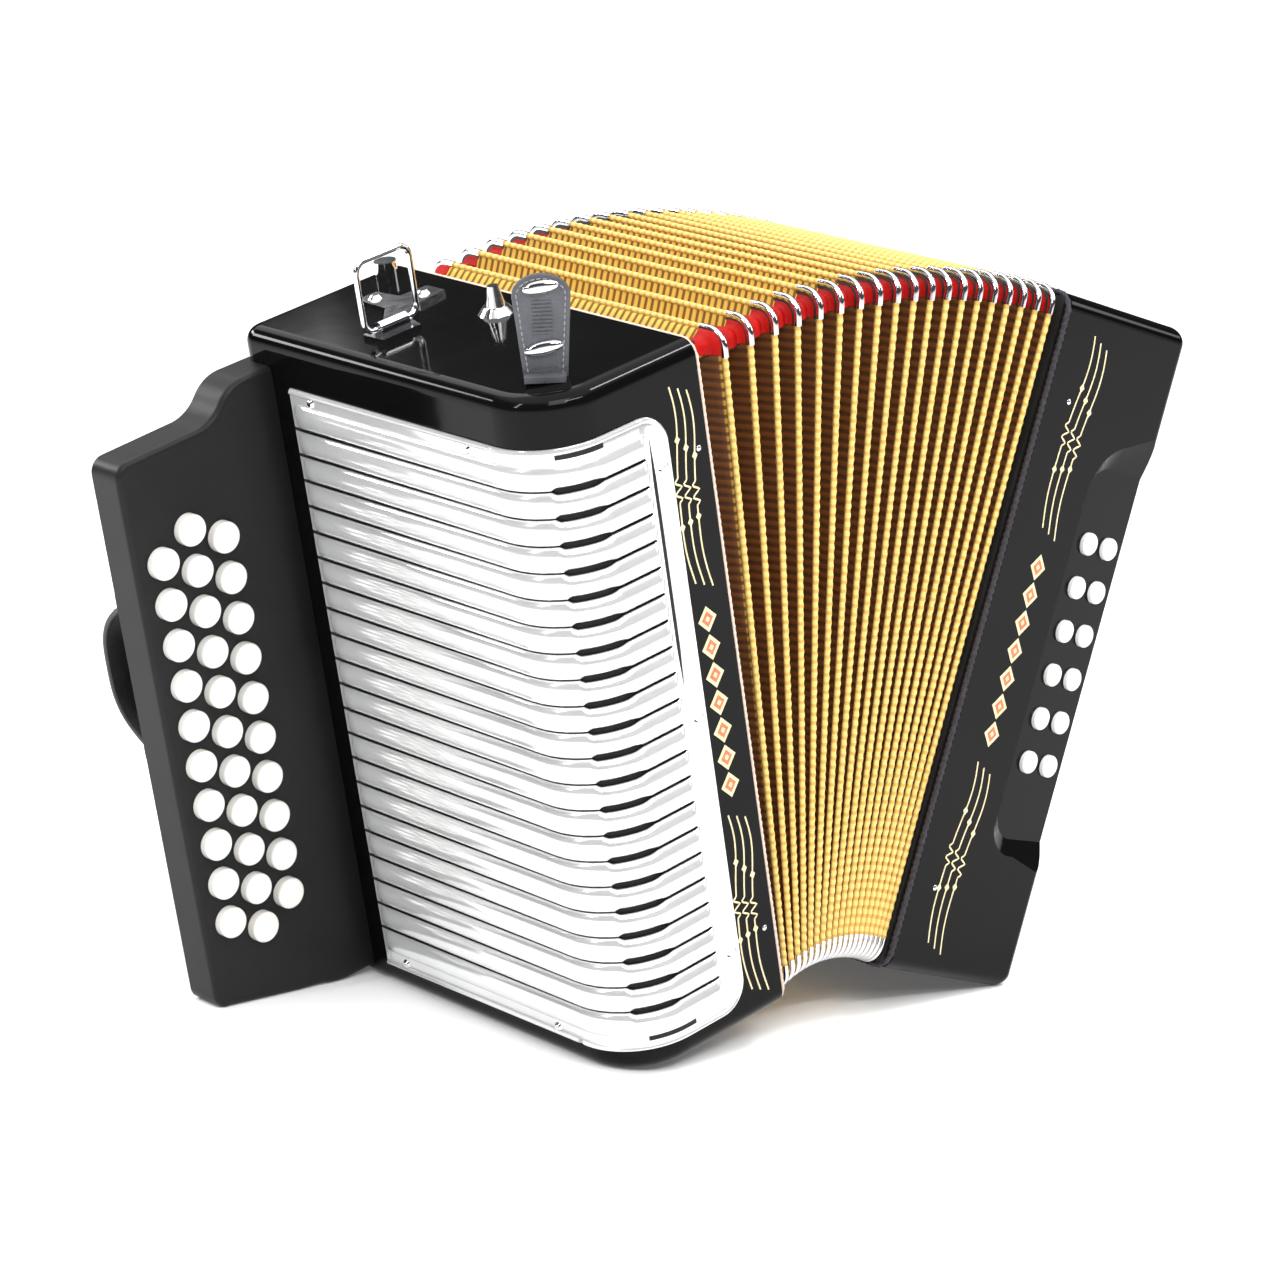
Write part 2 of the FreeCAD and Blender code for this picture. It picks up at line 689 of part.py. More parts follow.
def bass_strap_set():
    """Hand strap over the outer face, its end plates, and a strap lug on the top face."""
    width = 62
    face = size("bass_thick")
    profile = arch(30, 16, 218, 34, 3)
    band = profile.extrude(Vector(0, 0, width))
    # profile x runs up the case, profile y away from its outer face
    turn = FreeCAD.Matrix(0, 1, 0, 0, 0, 0, 1, 0, 1, 0, 0, 0, 0, 0, 0, 1)
    band = band.transformGeometry(turn)
    band.translate(Vector(face, 78, 0))
    solids = [made("hand_strap_shape", band)]
    for number, z in enumerate((32, 266), start=1):
        plate = Part.makeBox(2.5, width + 6, 12, Vector(face + 3, 75, z))
        solids.append(made(f"strap_plate_{number}", plate))
        bump = Part.makeCone(5, 3.4, 4, Vector(face, 14, z + 6), Vector(1, 0, 0))
        solids.append(made(f"strap_bump_{number}", bump))
    lug_x, lug_y, top = 41, 100, size("height")
    foot = Part.makeBox(16, 9, 2.2, Vector(lug_x - 8, lug_y - 4.5, top))
    ring = Part.makeTorus(6.5, 1.2, Vector(lug_x, lug_y + 6, top + 3.1))
    solids.append(made("bass_lug", foot.fuse(ring)))
    node("bass_strap_set", solids, "bass")


# ---------------------------------------------------------------- bellows

def end_point(side, x, z):
    """A point of an end's upright frame, as (x, z) in the standing object before the origin shift."""
    sign = -1 if side == "treble" else 1
    lean = sign * math.radians(size(f"{side}_lean"))
    low = lower_by(size(f"{side}_lean"), size(f"{side}_thick"))
    return (sign * size("gap_width") / 2 + x * math.cos(lean) + z * math.sin(lean),
            low - x * math.sin(lean) + z * math.cos(lean))


def hinge_line():
    """Where the fan turns: the two ends then meet square when the bellows close.

    In each end's frame the hinge is the same height below the bottom faces.
    """
    below = size("hinge_below")
    t = math.radians(size("treble_lean"))
    b = math.radians(size("bass_lean"))
    left = end_point("treble", 0, -below)
    right = end_point("bass", 0, -below)
    # left + p (cos t, sin t) = right - q (cos b, -sin b)
    dx = right[0] - left[0]
    dz = right[1] - left[1]
    total = math.sin(t + b)
    p = (dx * math.sin(b) + dz * math.cos(b)) / total
    return left[0] + p * math.cos(t), left[1] + p * math.sin(t), p


def fan(share):
    """Placement of the fold plane a share of the way from the treble end to the bass end.

    The plane is modelled upright, with y as in the ends and z measured up from the hinge.
    """
    hinge_x, hinge_z, left_room = hinge_line()
    t = math.radians(size("treble_lean"))
    b = math.radians(size("bass_lean"))
    right = end_point("bass", 0, -size("hinge_below"))
    right_room = math.hypot(right[0] - hinge_x, right[1] - hinge_z)
    left = -left_room + size("frame_thick")
    room = left_room + right_room - 2 * size("frame_thick")
    even = share * (1 - share)
    turned = share + size("fan_bulge") * even + size("fan_skew") * even * (1 - 2 * share)
    angle = -t + (t + b) * turned
    spin = Rotation(Vector(0, 1, 0), math.degrees(angle))
    offset = spin.multVec(Vector(left + room * share, 0, 0))
    base = Vector(hinge_x - size("origin_x"), -size("depth") / 2 - size("origin_y"), hinge_z)
    return Placement(base + offset, spin)


def ridge_share(number):
    """Share of the way from treble to bass at a fold's ridge."""
    run = number / (size("fold_count") - 1)
    spread = run + size("ridge_spread") * run * (1 - run)
    return size("first_ridge") + (size("last_ridge") - size("first_ridge")) * spread


def valley_share(number):
    """Share at the valley before a ridge; the first and last valleys lie on the end frames."""
    if number == 0:
        return 0.0
    if number == size("fold_count"):
        return 1.0
    return (ridge_share(number - 1) + ridge_share(number)) / 2


def fold_heights(share):
    """Heights above the hinge of the folds' lowest and highest edges at a share."""
    settled = min(1.0, share / size("first_ridge"))
    drop = size("fold_drop") * settled * (1 - share ** 2)
    low = size("hinge_below") + size("fold_low")
    return low, size("hinge_below") + size("height") + size("fold_high") - drop


def fold_ring(share, inset, corner):
    """Eight-sided ring of one fold edge."""
    front = size("fold_front") + inset
    back = size("fold_back") - inset
    lowest, highest = fold_heights(share)
    low = lowest + inset
    high = highest - inset
    flat = [(front + corner, low), (back - corner, low), (back, low + corner), (back, high - corner),
            (back - corner, high), (front + corner, high), (front, high - corner),
            (front, low + corner)]
    place = fan(share)
    return [place.multVec(Vector(0, y, z)) for y, z in flat]


def skin(rings):
    """Ruled faces between one ring of points and the next."""
    faces = []
    for near_ring, far_ring in zip(rings, rings[1:]):
        for k in range(8):
            a, b = near_ring[k], near_ring[(k + 1) % 8]
            c, d = far_ring[k], far_ring[(k + 1) % 8]
            faces.append(Part.makeRuledSurface(Part.makeLine(a, b), Part.makeLine(c, d)))
    return faces


def bellows_shapes():
    """The folded skin as one thin closed solid, and four metal caps on each fold."""
    folds = int(size("fold_count"))
    deep = size("fold_depth")
    stations = []
    for number in range(folds):
        stations.append((valley_share(number), deep, size("valley_corner")))
        stations.append((ridge_share(number), 0.0, size("ridge_corner")))
    stations.append((valley_share(folds), deep, size("valley_corner")))
    outer = [fold_ring(share, inset, corner) for share, inset, corner in stations]
    inner = [fold_ring(share, inset + size("skin_thick"), corner)
             for share, inset, corner in stations]
    faces = skin(outer) + skin(inner)
    for ring_out, ring_in in ((outer[0], inner[0]), (outer[-1], inner[-1])):
        for k in range(8):
            after = (k + 1) % 8
            faces.append(Part.Face(polygon([ring_out[k], ring_out[after], ring_in[after], ring_in[k]])))
    shell = Part.makeShell(faces)
    shell.sewShape()
    pleats = Part.makeSolid(shell)
    if pleats.Volume < 0:
        pleats.reverse()
    caps = []
    for number in range(folds):
        caps += fold_caps(ridge_share(number))
    return pleats, caps


def fold_caps(share):
    """Four bent metal caps over one fold's corners."""
    leg = size("cap_leg")
    thick = size("cap_thick")
    wide = size("cap_wide")
    corner = size("ridge_corner")
    low, high = fold_heights(share)
    front = size("fold_front")
    back = size("fold_back")
    out = thick * math.tan(math.radians(22.5))
    caps = []
    for y0, in_y in ((front, 1), (back, -1)):
        for z0, in_z in ((low, 1), (high, -1)):
            flat = [(corner, 0), (leg, 0), (leg, -thick), (corner - out, -thick),
                    (-thick, corner - out), (-thick, leg), (0, leg), (0, corner)]
            points = [Vector(-wide / 2, y0 + in_y * u, z0 + in_z * v) for u, v in flat]
            cap = Part.Face(polygon(points)).extrude(Vector(wide, 0, 0))
            cap.Placement = fan(share).multiply(cap.Placement)
            caps.append(cap)
    return caps


def bellows():
    pleats, caps = bellows_shapes()
    for label, shape in (("bellows_pleats", pleats), ("bellows_corners", Part.makeCompound(caps))):
        thing = made(label, shape)
        thing.Label = label
        NODES.append(thing)


# ---------------------------------------------------------------- assembly

block = treble_case()
treble_grille()
grille_screws()
fingerboard(block)
treble_buttons()
thumb_strap()
reed_blocks("treble_reed_blocks", "treble", (50, 98, 146), 54, 24, 262)
bellows_frame("treble_bellows_frame", "treble")
strap_hardware()
strap_bail()
bellows_strap()
bass_case()
bass_buttons()
air_button()
bass_strap_set()
reed_blocks("bass_reed_blocks", "bass", (62, 134), 44, 24, 262)
bellows_frame("bass_bellows_frame", "bass")
doc.recompute()
whole = FreeCAD.BoundBox()
for thing in NODES:
    whole.add(thing.Shape.optimalBoundingBox(False))
column = list(SIZES).index("origin_x") + 1
sheet.set(f"B{column}", str(round((whole.XMin + whole.XMax) / 2, 3)))
sheet.set(f"B{column + 1}", str(round((whole.YMin + whole.YMax) / 2, 3)))
doc.recompute()
bellows()
doc.recompute()

for thing in doc.Objects:
    if "Invalid" in thing.State or "Error" in thing.State:
        raise RuntimeError(f"{thing.Name} failed: {thing.State}")
for thing in NODES:
    if thing.Shape.isNull() or not thing.Shape.isValid():
        raise RuntimeError(f"{thing.Label} has a bad shape")

os.makedirs("parts", exist_ok=True)
for thing in NODES:
    thing.Shape.exportStep(f"parts/{thing.Label}.step")
hinge_x, hinge_z, _ = hinge_line()
print("nodes", len(NODES), "volume", round(sum(t.Shape.Volume for t in NODES)))
print("hinge", round(hinge_x - size("origin_x"), 3), round(hinge_z, 3))
print("origin shift", size("origin_x"), size("origin_y"))
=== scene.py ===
"""Looks of a three-row button accordion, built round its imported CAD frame."""

import json
import math

import bpy
from mathutils import Matrix, Vector


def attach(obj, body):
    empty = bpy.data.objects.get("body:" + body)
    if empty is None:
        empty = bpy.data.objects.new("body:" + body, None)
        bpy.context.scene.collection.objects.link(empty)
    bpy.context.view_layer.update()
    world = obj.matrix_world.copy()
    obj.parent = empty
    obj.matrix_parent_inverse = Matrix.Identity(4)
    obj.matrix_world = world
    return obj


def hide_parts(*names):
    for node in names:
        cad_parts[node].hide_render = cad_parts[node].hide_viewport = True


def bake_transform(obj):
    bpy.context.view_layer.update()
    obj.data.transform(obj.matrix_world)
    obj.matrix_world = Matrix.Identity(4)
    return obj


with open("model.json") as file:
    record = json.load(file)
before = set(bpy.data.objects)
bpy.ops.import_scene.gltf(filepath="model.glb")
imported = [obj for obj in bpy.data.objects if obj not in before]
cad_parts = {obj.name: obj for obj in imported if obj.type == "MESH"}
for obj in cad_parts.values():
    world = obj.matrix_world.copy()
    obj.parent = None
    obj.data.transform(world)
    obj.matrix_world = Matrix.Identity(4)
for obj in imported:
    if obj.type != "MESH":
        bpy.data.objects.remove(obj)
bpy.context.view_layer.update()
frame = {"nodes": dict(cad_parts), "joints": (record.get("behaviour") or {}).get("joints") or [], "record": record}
record = frame["record"]
nodes = frame["nodes"]

MM = 0.001
RIGHTWARD = Vector((1, 0, 0))
BACKWARD = Vector((0, 1, 0))
UPWARD = Vector((0, 0, 1))

# ---------------------------------------------------------------- the two ends' own frames

# Each end is drawn upright in millimetres: x is 0 on the face that meets the bellows and grows
# towards the bass, y is 0 on the front face, z is 0 on the bottom face.
HEIGHT = 310.0
CASE_DEPTH = 196.0
TREBLE_THICK = 86.0
BASS_THICK = 82.5
FRONT_ROUND = 30.0  # treble case's front outer corner
FOLDS = 19
FRAME_THICK = 3.0


def end_frame(mount_name, x, y):
    """Matrix from an end's upright frame to the row frame, from the mount on its bottom face."""
    mount = next(m for m in record["mounts"] if m["name"] == mount_name)
    up = -Vector(mount["axis"]).normalized()
    right = BACKWARD.cross(up).normalized()
    origin = Vector(mount["pos_m"]) - (right * x + BACKWARD * y) * MM
    turn = Matrix((right, BACKWARD, up)).transposed().to_4x4()
    return Matrix.Translation(origin) @ turn @ Matrix.Scale(MM, 4)


TREBLE = end_frame("treble_bottom", -43, 98)
BASS = end_frame("bass_bottom", 39, 98)
TREBLE_BODY = "treble_end"
BASS_BODY = "bass_end"
ENDS = {TREBLE_BODY: TREBLE, BASS_BODY: BASS}


# ---------------------------------------------------------------- material helpers

class Shader:
    """A node material under construction."""

    def __init__(self, name, **settings):
        self.material = bpy.data.materials.new(name)
        self.material.use_nodes = True
        self.tree = self.material.node_tree
        self.surface = self.tree.nodes["Principled BSDF"]
        for socket, value in settings.items():
            self.surface.inputs[socket.replace("_", " ")].default_value = value

    def add(self, kind, **settings):
        node = self.tree.nodes.new(kind)
        for key, value in settings.items():
            if key in node.inputs:
                node.inputs[key].default_value = value
            else:
                setattr(node, key, value)
        return node

    def link(self, source, target):
        self.tree.links.new(source, target)

    def place(self, scale=(1, 1, 1), turn=(0, 0, 0)):
        """Object coordinates in metres, scaled and turned."""
        coordinates = self.add("ShaderNodeTexCoord")
        mapping = self.add("ShaderNodeMapping")
        mapping.inputs["Scale"].default_value = scale
        mapping.inputs["Rotation"].default_value = turn
        self.link(coordinates.outputs["Object"], mapping.inputs["Vector"])
        return mapping.outputs["Vector"]

    def noise(self, scale, detail=3.0, roughness=0.5, vector=None):
        node = self.add("ShaderNodeTexNoise", Scale=scale, Detail=detail, Roughness=roughness)
        self.link(vector or self.place(), node.inputs["Vector"])
        return node.outputs["Fac"]

    def ramp(self, factor, *stops):
        node = self.add("ShaderNodeValToRGB")
        elements = node.color_ramp.elements
        while len(elements) < len(stops):
            elements.new(0.5)
        for element, (position, colour) in zip(elements, stops):
            element.position = position
            element.color = colour if len(colour) == 4 else (*colour, 1)
        self.link(factor, node.inputs["Fac"])
        return node.outputs["Color"]

    def span(self, factor, low, high):
        """Map a 0 to 1 factor to the range low to high."""
        node = self.add("ShaderNodeMapRange")
        node.inputs["To Min"].default_value = low
        node.inputs["To Max"].default_value = high
        self.link(factor, node.inputs["Value"])
        return node.outputs["Result"]

    def bump(self, height, strength, distance):
        node = self.add("ShaderNodeBump", Strength=strength, Distance=distance)
        self.link(height, node.inputs["Height"])
        previous = self.surface.inputs["Normal"].links
        if previous:
            self.link(previous[0].from_socket, node.inputs["Normal"])
        self.link(node.outputs["Normal"], self.surface.inputs["Normal"])

    def colour(self, socket):
        self.link(socket, self.surface.inputs["Base Color"])

    def rough(self, socket):
        self.link(socket, self.surface.inputs["Roughness"])


def lacquer():
    """Thick gloss black lacquer with a little orange peel and fine wiping marks."""
    shader = Shader("lacquer", Specular_IOR_Level=0.12)
    tone = shader.noise(9, 4)
    shader.colour(shader.ramp(tone, (0.3, (0.002, 0.002, 0.002)), (0.75, (0.004, 0.004, 0.0042))))
    shader.rough(shader.span(shader.noise(60, 5), 0.05, 0.12))
    shader.bump(shader.noise(140, 1), 0.03, 0.0002)
    return shader.material


def satin_black():
    """Fine-textured black of the fingerboard, a little lighter where it has been rubbed."""
    shader = Shader("satin_black", Specular_IOR_Level=0.2)
    tone = shader.noise(12, 6)
    shader.colour(shader.ramp(tone, (0.3, (0.007, 0.007, 0.0075)), (0.8, (0.012, 0.012, 0.0125))))
    shader.rough(shader.span(shader.noise(35, 4), 0.36, 0.50))
    shader.bump(shader.noise(2600, 2), 0.25, 0.0001)
    return shader.material


def chrome(name, tint=(0.93, 0.935, 0.94), rough=(0.03, 0.10), wear=30, metallic=1.0):
    """Polished plate with faint cloudiness and hairline scuffs."""
    shader = Shader(name, Metallic=metallic)
    low = tuple(c * 0.94 for c in tint)
    shader.colour(shader.ramp(shader.noise(wear, 5), (0.35, low), (0.7, tint)))
    stretched = shader.place(scale=(40, 400, 900))
    scuffs = shader.noise(1.0, 3, vector=stretched)
    shader.rough(shader.span(scuffs, *rough))
    shader.bump(shader.noise(25, 1), 0.02, 0.0004)
    return shader.material


def button_white(name, tint):
    """Polished cast resin, very slightly marbled."""
    shader = Shader(name, Coat_Weight=0.6, Coat_Roughness=0.05, Subsurface_Weight=0.15,
                    Subsurface_Scale=0.002)
    low = tuple(c * 0.93 for c in tint)
    shader.colour(shader.ramp(shader.noise(120, 4), (0.3, low), (0.7, tint)))
    shader.rough(shader.span(shader.noise(300, 3), 0.16, 0.28))
    shader.bump(shader.noise(90, 2), 0.04, 0.0003)
    return shader.material


def leather(name, dark, light, grain=900, coat=0.15, shine=0.5):
    """Grained leather: cell grain, finer pores and rubbed high spots."""
    shader = Shader(name, Coat_Weight=coat, Coat_Roughness=0.3, Specular_IOR_Level=shine)
    cells = shader.add("ShaderNodeTexVoronoi", Scale=grain, feature="DISTANCE_TO_EDGE")
    shader.link(shader.place(), cells.inputs["Vector"])
    shader.colour(shader.ramp(shader.noise(60, 6), (0.3, dark), (0.75, light)))
    shader.rough(shader.span(shader.noise(220, 4), 0.38, 0.62))
    shader.bump(cells.outputs["Distance"], 0.5, 0.0006)
    shader.bump(shader.noise(1800, 3), 0.25, 0.0002)
    return shader.material


def wood(name, dark, light):
    """Straight-grained timber."""
    shader = Shader(name)
    stretched = shader.place(scale=(160, 160, 12))
    grain = shader.noise(1.0, 6, 0.6, vector=stretched)
    shader.colour(shader.ramp(grain, (0.3, dark), (0.7, light)))
    shader.rough(shader.span(grain, 0.55, 0.8))
    shader.bump(grain, 0.3, 0.0003)
    return shader.material


def ribbed_cloth(name, valley_shade, ground, crest, pitch, relief=0.8):
    """Gold cloth whose cords cross the fold, with painted shade: dark in the folds, lit gold on the crests.

    The attribute "along" is the distance along the fold in metres, and "rise" runs from 0 in the
    valley to 1 on the ridge.
    """
    shader = Shader(name, Sheen_Weight=0.05, Sheen_Roughness=0.4, Specular_IOR_Level=0.3)
    along = shader.add("ShaderNodeAttribute", attribute_name="along")
    rise = shader.add("ShaderNodeAttribute", attribute_name="rise")
    turns = shader.add("ShaderNodeMath", operation="MULTIPLY")
    turns.inputs[1].default_value = 2 * math.pi / pitch
    shader.link(along.outputs["Fac"], turns.inputs[0])
    wave = shader.add("ShaderNodeMath", operation="SINE")
    shader.link(turns.outputs["Value"], wave.inputs[0])
    cord = shader.add("ShaderNodeMapRange")
    cord.inputs["From Min"].default_value = -1.0
    shader.link(wave.outputs["Value"], cord.inputs["Value"])
    striped = shader.ramp(cord.outputs["Result"], (0.24, ground), (0.48, crest))
    # Painted shade: low on the rise the cloth takes a darkened valley colour, and high on it the lit cord colours.
    shade_fade = shader.ramp(rise.outputs["Fac"], (0.90, (0.0, 0.0, 0.0)), (0.985, (1, 1, 1)))
    mix = shader.add("ShaderNodeMix", data_type="RGBA")
    gloom = tuple(c * 0.45 for c in valley_shade)
    shaded_cords = shader.ramp(cord.outputs["Result"], (0.25, gloom), (0.7, valley_shade))
    shader.link(shaded_cords, mix.inputs["A"])
    shader.link(shade_fade, mix.inputs["Factor"])
    shader.link(striped, mix.inputs["B"])
    shader.colour(mix.outputs["Result"])
    shader.rough(shader.span(shader.noise(500, 4), 0.55, 0.8))
    shader.bump(cord.outputs["Result"], relief, 0.0006)
    shader.bump(shader.noise(2400, 3), 0.35, 0.0002)
    return shader.material


def dull(name, dark, light, scale=200, rough=(0.6, 0.85)):
    """Plain matt stuff with a little mottling."""
    shader = Shader(name)
    shader.colour(shader.ramp(shader.noise(scale, 4), (0.3, dark), (0.7, light)))
    shader.rough(shader.span(shader.noise(scale * 3, 3), *rough))
    shader.bump(shader.noise(scale * 5, 3), 0.25, 0.0002)
    return shader.material


LACQUER = lacquer()
SATIN = satin_black()
GRILLE = chrome("grille_chrome", tint=(0.92, 0.925, 0.93), rough=(0.11, 0.15), metallic=0.55)
FITTING = chrome("fitting_chrome", tint=(0.80, 0.80, 0.815), rough=(0.06, 0.16), wear=90)
# Darker chrome laid as a strip along the grille's front border: painted shade.
GRILLE_BORDER_SHADE = chrome("grille_border_shade", tint=(0.66, 0.66, 0.68), rough=(0.11, 0.15), metallic=0.55)
# Black laid on the grille's gap floors and backing as painted shade of the dark inside, and on strips over the
# grille as painted dark reflection.
SLOT_SHADE = dull("slot_shade", (0.002, 0.002, 0.002), (0.006, 0.006, 0.006))
TREBLE_WHITE = button_white("treble_button_white", (0.90, 0.885, 0.84))
BASS_WHITE = button_white("bass_button_white", (0.93, 0.93, 0.91))
BLACK_LEATHER = leather("black_leather", (0.010, 0.010, 0.010), (0.028, 0.027, 0.027))
RED_LEATHER = leather("red_leather", (0.32, 0.002, 0.001), (0.47, 0.004, 0.002), grain=1500,
                      coat=0.04, shine=0.12)
# Its first colour is painted shade for the dark of the folds; the two cord colours are the cloth's own.
GOLD_CLOTH = ribbed_cloth("gold_cloth", (0.120, 0.034, 0.002), (0.17, 0.085, 0.003),
                          (0.72, 0.43, 0.065), pitch=0.0040)
GOLD_PIPING = ribbed_cloth("gold_piping", (0.70, 0.42, 0.09), (0.70, 0.42, 0.09),
                           (0.87, 0.62, 0.21), pitch=0.0040, relief=0.2)
CREAM_THREAD = dull("cream_thread", (0.62, 0.47, 0.38), (0.80, 0.66, 0.56), 900)
SPRUCE = wood("spruce", (0.45, 0.28, 0.13), (0.70, 0.50, 0.28))
BLACK_WOOD = wood("black_wood", (0.004, 0.004, 0.004), (0.010, 0.009, 0.009))
GOLD_PAINT = dull("gold_paint", (0.76, 0.62, 0.33), (0.90, 0.78, 0.50), 400, (0.3, 0.5))
RED_PAINT = dull("red_paint", (0.55, 0.13, 0.06), (0.68, 0.20, 0.09), 400, (0.3, 0.5))
BLACK_THREAD = dull("black_thread", (0.02, 0.02, 0.02), (0.05, 0.05, 0.05), 900)
GREY_THREAD = dull("grey_thread", (0.20, 0.20, 0.21), (0.34, 0.34, 0.35), 900)
GREY_LEATHER = leather("grey_leather", (0.045, 0.048, 0.055), (0.105, 0.110, 0.125))
BLACK_RUBBER = dull("black_rubber", (0.010, 0.010, 0.010), (0.020, 0.020, 0.020), 300, (0.4, 0.6))
PLUM_THREAD = dull("plum_thread", (0.008, 0.007, 0.010), (0.040, 0.034, 0.046), 900)


def paint(node_name, material):
    """Give a CAD node its finish."""
    thing = nodes[node_name]
    thing.data.materials.clear()
    thing.data.materials.append(material)


# ---------------------------------------------------------------- mesh helpers

def grid_faces(rows, columns, start=0, wrap_rows=False, wrap_columns=False):
    """Quads of a grid of points stored row by row."""
    faces = []
    for r in range(rows if wrap_rows else rows - 1):
        for c in range(columns if wrap_columns else columns - 1):
            r2 = (r + 1) % rows
            c2 = (c + 1) % columns
            faces.append((start + r * columns + c, start + r * columns + c2,
                          start + r2 * columns + c2, start + r2 * columns + c))
    return faces


class Build:
    """Collects points and faces of one piece that has several parts."""

    def __init__(self):
        self.points = []
        self.faces = []

    def piece(self, name, material, body=None, smooth=40):
        """Make the mesh piece; one that rides on an end is drawn in that end's frame."""
        place = ENDS.get(body)
        points = [tuple(place @ Vector(p) if place else p) for p in self.points]
        mesh = bpy.data.meshes.new(name)
        mesh.from_pydata(points, [], self.faces)
        mesh.update()
        thing = bpy.data.objects.new(name, mesh)
        bpy.context.scene.collection.objects.link(thing)
        for entry in material if isinstance(material, list) else [material]:
            mesh.materials.append(entry)
        if smooth:
            mesh.polygons.foreach_set("use_smooth", [True] * len(mesh.polygons))
            mesh.set_sharp_from_angle(angle=math.radians(smooth))
        if body:
            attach(thing, body)
        return thing

    def grid(self, rows, wrap_rows=False, wrap_columns=False, cap=False):
        """Add a grid; cap closes its first and last rows."""
        start = len(self.points)
        columns = len(rows[0])
        for row in rows:
            self.points += list(row)
        self.faces += grid_faces(len(rows), columns, start, wrap_rows, wrap_columns)
        if cap:
            self.faces.append(tuple(start + c for c in reversed(range(columns))))
            last = start + (len(rows) - 1) * columns
            self.faces.append(tuple(last + c for c in range(columns)))

    def tube(self, path, radius, sides=8, closed=False, squeeze=1.0, up=BACKWARD):
        """Round tube along a path; radius may be a function of the position's number."""
        count = len(path)
        rows = []
        for number, middle in enumerate(path):
            before = path[number - 1] if closed or number else path[0]
            after = path[(number + 1) % count] if closed or number < count - 1 else path[-1]
            run = (after - before).normalized()
            side = run.cross(up)
            side = side.normalized() if side.length > 1e-6 else run.orthogonal().normalized()
            lift = side.cross(run)
            size = radius(number) if callable(radius) else radius
            row = []
            for step in range(sides):
                turn = 2 * math.pi * step / sides
                row.append(middle + side * math.cos(turn) * size
                           + lift * math.sin(turn) * size * squeeze)
            rows.append(row)
        self.grid(rows, wrap_rows=closed, wrap_columns=True, cap=not closed)

    def dome(self, centre, out, profile, sides=20):
        """Turned shape about an axis; profile is (radius, height) pairs from rim to crown."""
        side = out.orthogonal().normalized()
        other = out.cross(side)
        rows = []
        for radius, height in profile:
            rows.append([centre + out * height
                         + (side * math.cos(a) + other * math.sin(a)) * radius
                         for a in (2 * math.pi * k / sides for k in range(sides))])
        self.grid(rows, wrap_columns=True, cap=True)

    def slab(self, flat, out):
        """Closed thin plate from an outline and a thickness vector."""
        start = len(self.points)
        count = len(flat)
        self.points += list(flat) + [p + out for p in flat]
        self.faces.append(tuple(start + k for k in reversed(range(count))))
        self.faces.append(tuple(start + count + k for k in range(count)))
        for k in range(count):
            k2 = (k + 1) % count
            self.faces.append((start + k, start + k2, start + count + k2, start + count + k))


# ---------------------------------------------------------------- CAD nodes that stay

def finish_cad_nodes():
    for name in ("treble_case", "bass_case"):
        paint(name, LACQUER)
    paint("fingerboard", SATIN)
    for name in nodes:
        if name.startswith("treble_button_"):
            paint(name, TREBLE_WHITE)
        if name.startswith("bass_button_"):
            paint(name, BASS_WHITE)
    paint("air_button", TREBLE_WHITE)
    paint("strap_bail", FITTING)
    paint("strap_hardware", FITTING)
    paint("grille_screws", FITTING)
    for name in ("treble_reed_blocks", "bass_reed_blocks"):
        paint(name, SPRUCE)
    for name in ("treble_bellows_frame", "bass_bellows_frame"):
        paint(name, BLACK_WOOD)


# ---------------------------------------------------------------- grille

GRILLE_LOW = 11.0
GRILLE_HIGH = 288.0
GRILLE_BACK = 164.0
GRILLE_FRONT_X = 22.0
GRILLE_CORNER = 14.0
GRILLE_SKIN = 1.2
RIB_COUNT = 22
RIB_PITCH = 12.0
RIB_FIRST = 18.0
RIB_RISE = 2.7
SIDE_RUN = GRILLE_BACK - FRONT_ROUND
CORNER_RUN = math.pi / 2 * FRONT_ROUND
GRILLE_RUN = SIDE_RUN + CORNER_RUN + TREBLE_THICK - FRONT_ROUND - GRILLE_FRONT_X
RIB_END = GRILLE_RUN - 11.0
SLOT_START = 156.0  # where the sound slots open, along the grille


def steps(start, end, count):
    """Evenly spaced numbers from start to end."""
    return [start + (end - start) * k / count for k in range(count + 1)]


def smooth(t):
    t = min(1.0, max(0.0, t))
    return t * t * (3 - 2 * t)


def on_grille(along, z, lift):
    """Point over the case where the grille lies.

    along runs from the fingerboard over the outer face, round the corner and over the front.
    """
    if along < SIDE_RUN:
        return Vector((-TREBLE_THICK - lift, GRILLE_BACK - along, z))
    if along < SIDE_RUN + CORNER_RUN:
        turn = (along - SIDE_RUN) / FRONT_ROUND
        reach = FRONT_ROUND + lift
        return Vector((-TREBLE_THICK + FRONT_ROUND - math.cos(turn) * reach,
                       FRONT_ROUND - math.sin(turn) * reach, z))
    past = along - SIDE_RUN - CORNER_RUN
    return Vector((-TREBLE_THICK + FRONT_ROUND + past, -lift, z))


def slot_half(along):
    """Half height of the dark gap between two ribs at a distance along them.

    It is a fine line that widens towards the fingerboard, then a blunt sound slot over the
    corner that steps down to a narrow one across the front.
    """
    line = 0.30 + 0.50 * smooth(1 - along / 150)
    narrow = 0.60 * smooth((along - SLOT_START - 1) / 2.5) * smooth((RIB_END - 1 - along) / 2.5)
    wide = 1.5 * smooth((along - SLOT_START - 0.5) / 2.5) * smooth((183 - along) / 9)
    return max(line, narrow, wide)


def slot_depth(along):
    return 0.8 + 2.4 * smooth((along - SLOT_START) / 3) * smooth((RIB_END - along) / 3)


def grille_stations():
    """Distances along the grille at which its section is drawn."""
    flat = steps(0, 5, 4) + steps(5, 154, 30)[1:] + steps(154, 184, 30)[1:]
    return flat + steps(184, RIB_END - 6, 8)[1:] + steps(RIB_END - 6, GRILLE_RUN, 16)[1:]


RIB_SHARES = (0.0, 0.03, 0.08, 0.15, 0.24, 0.34, 0.45, 0.56, 0.67, 0.77, 0.86, 0.93, 0.98, 1.0)


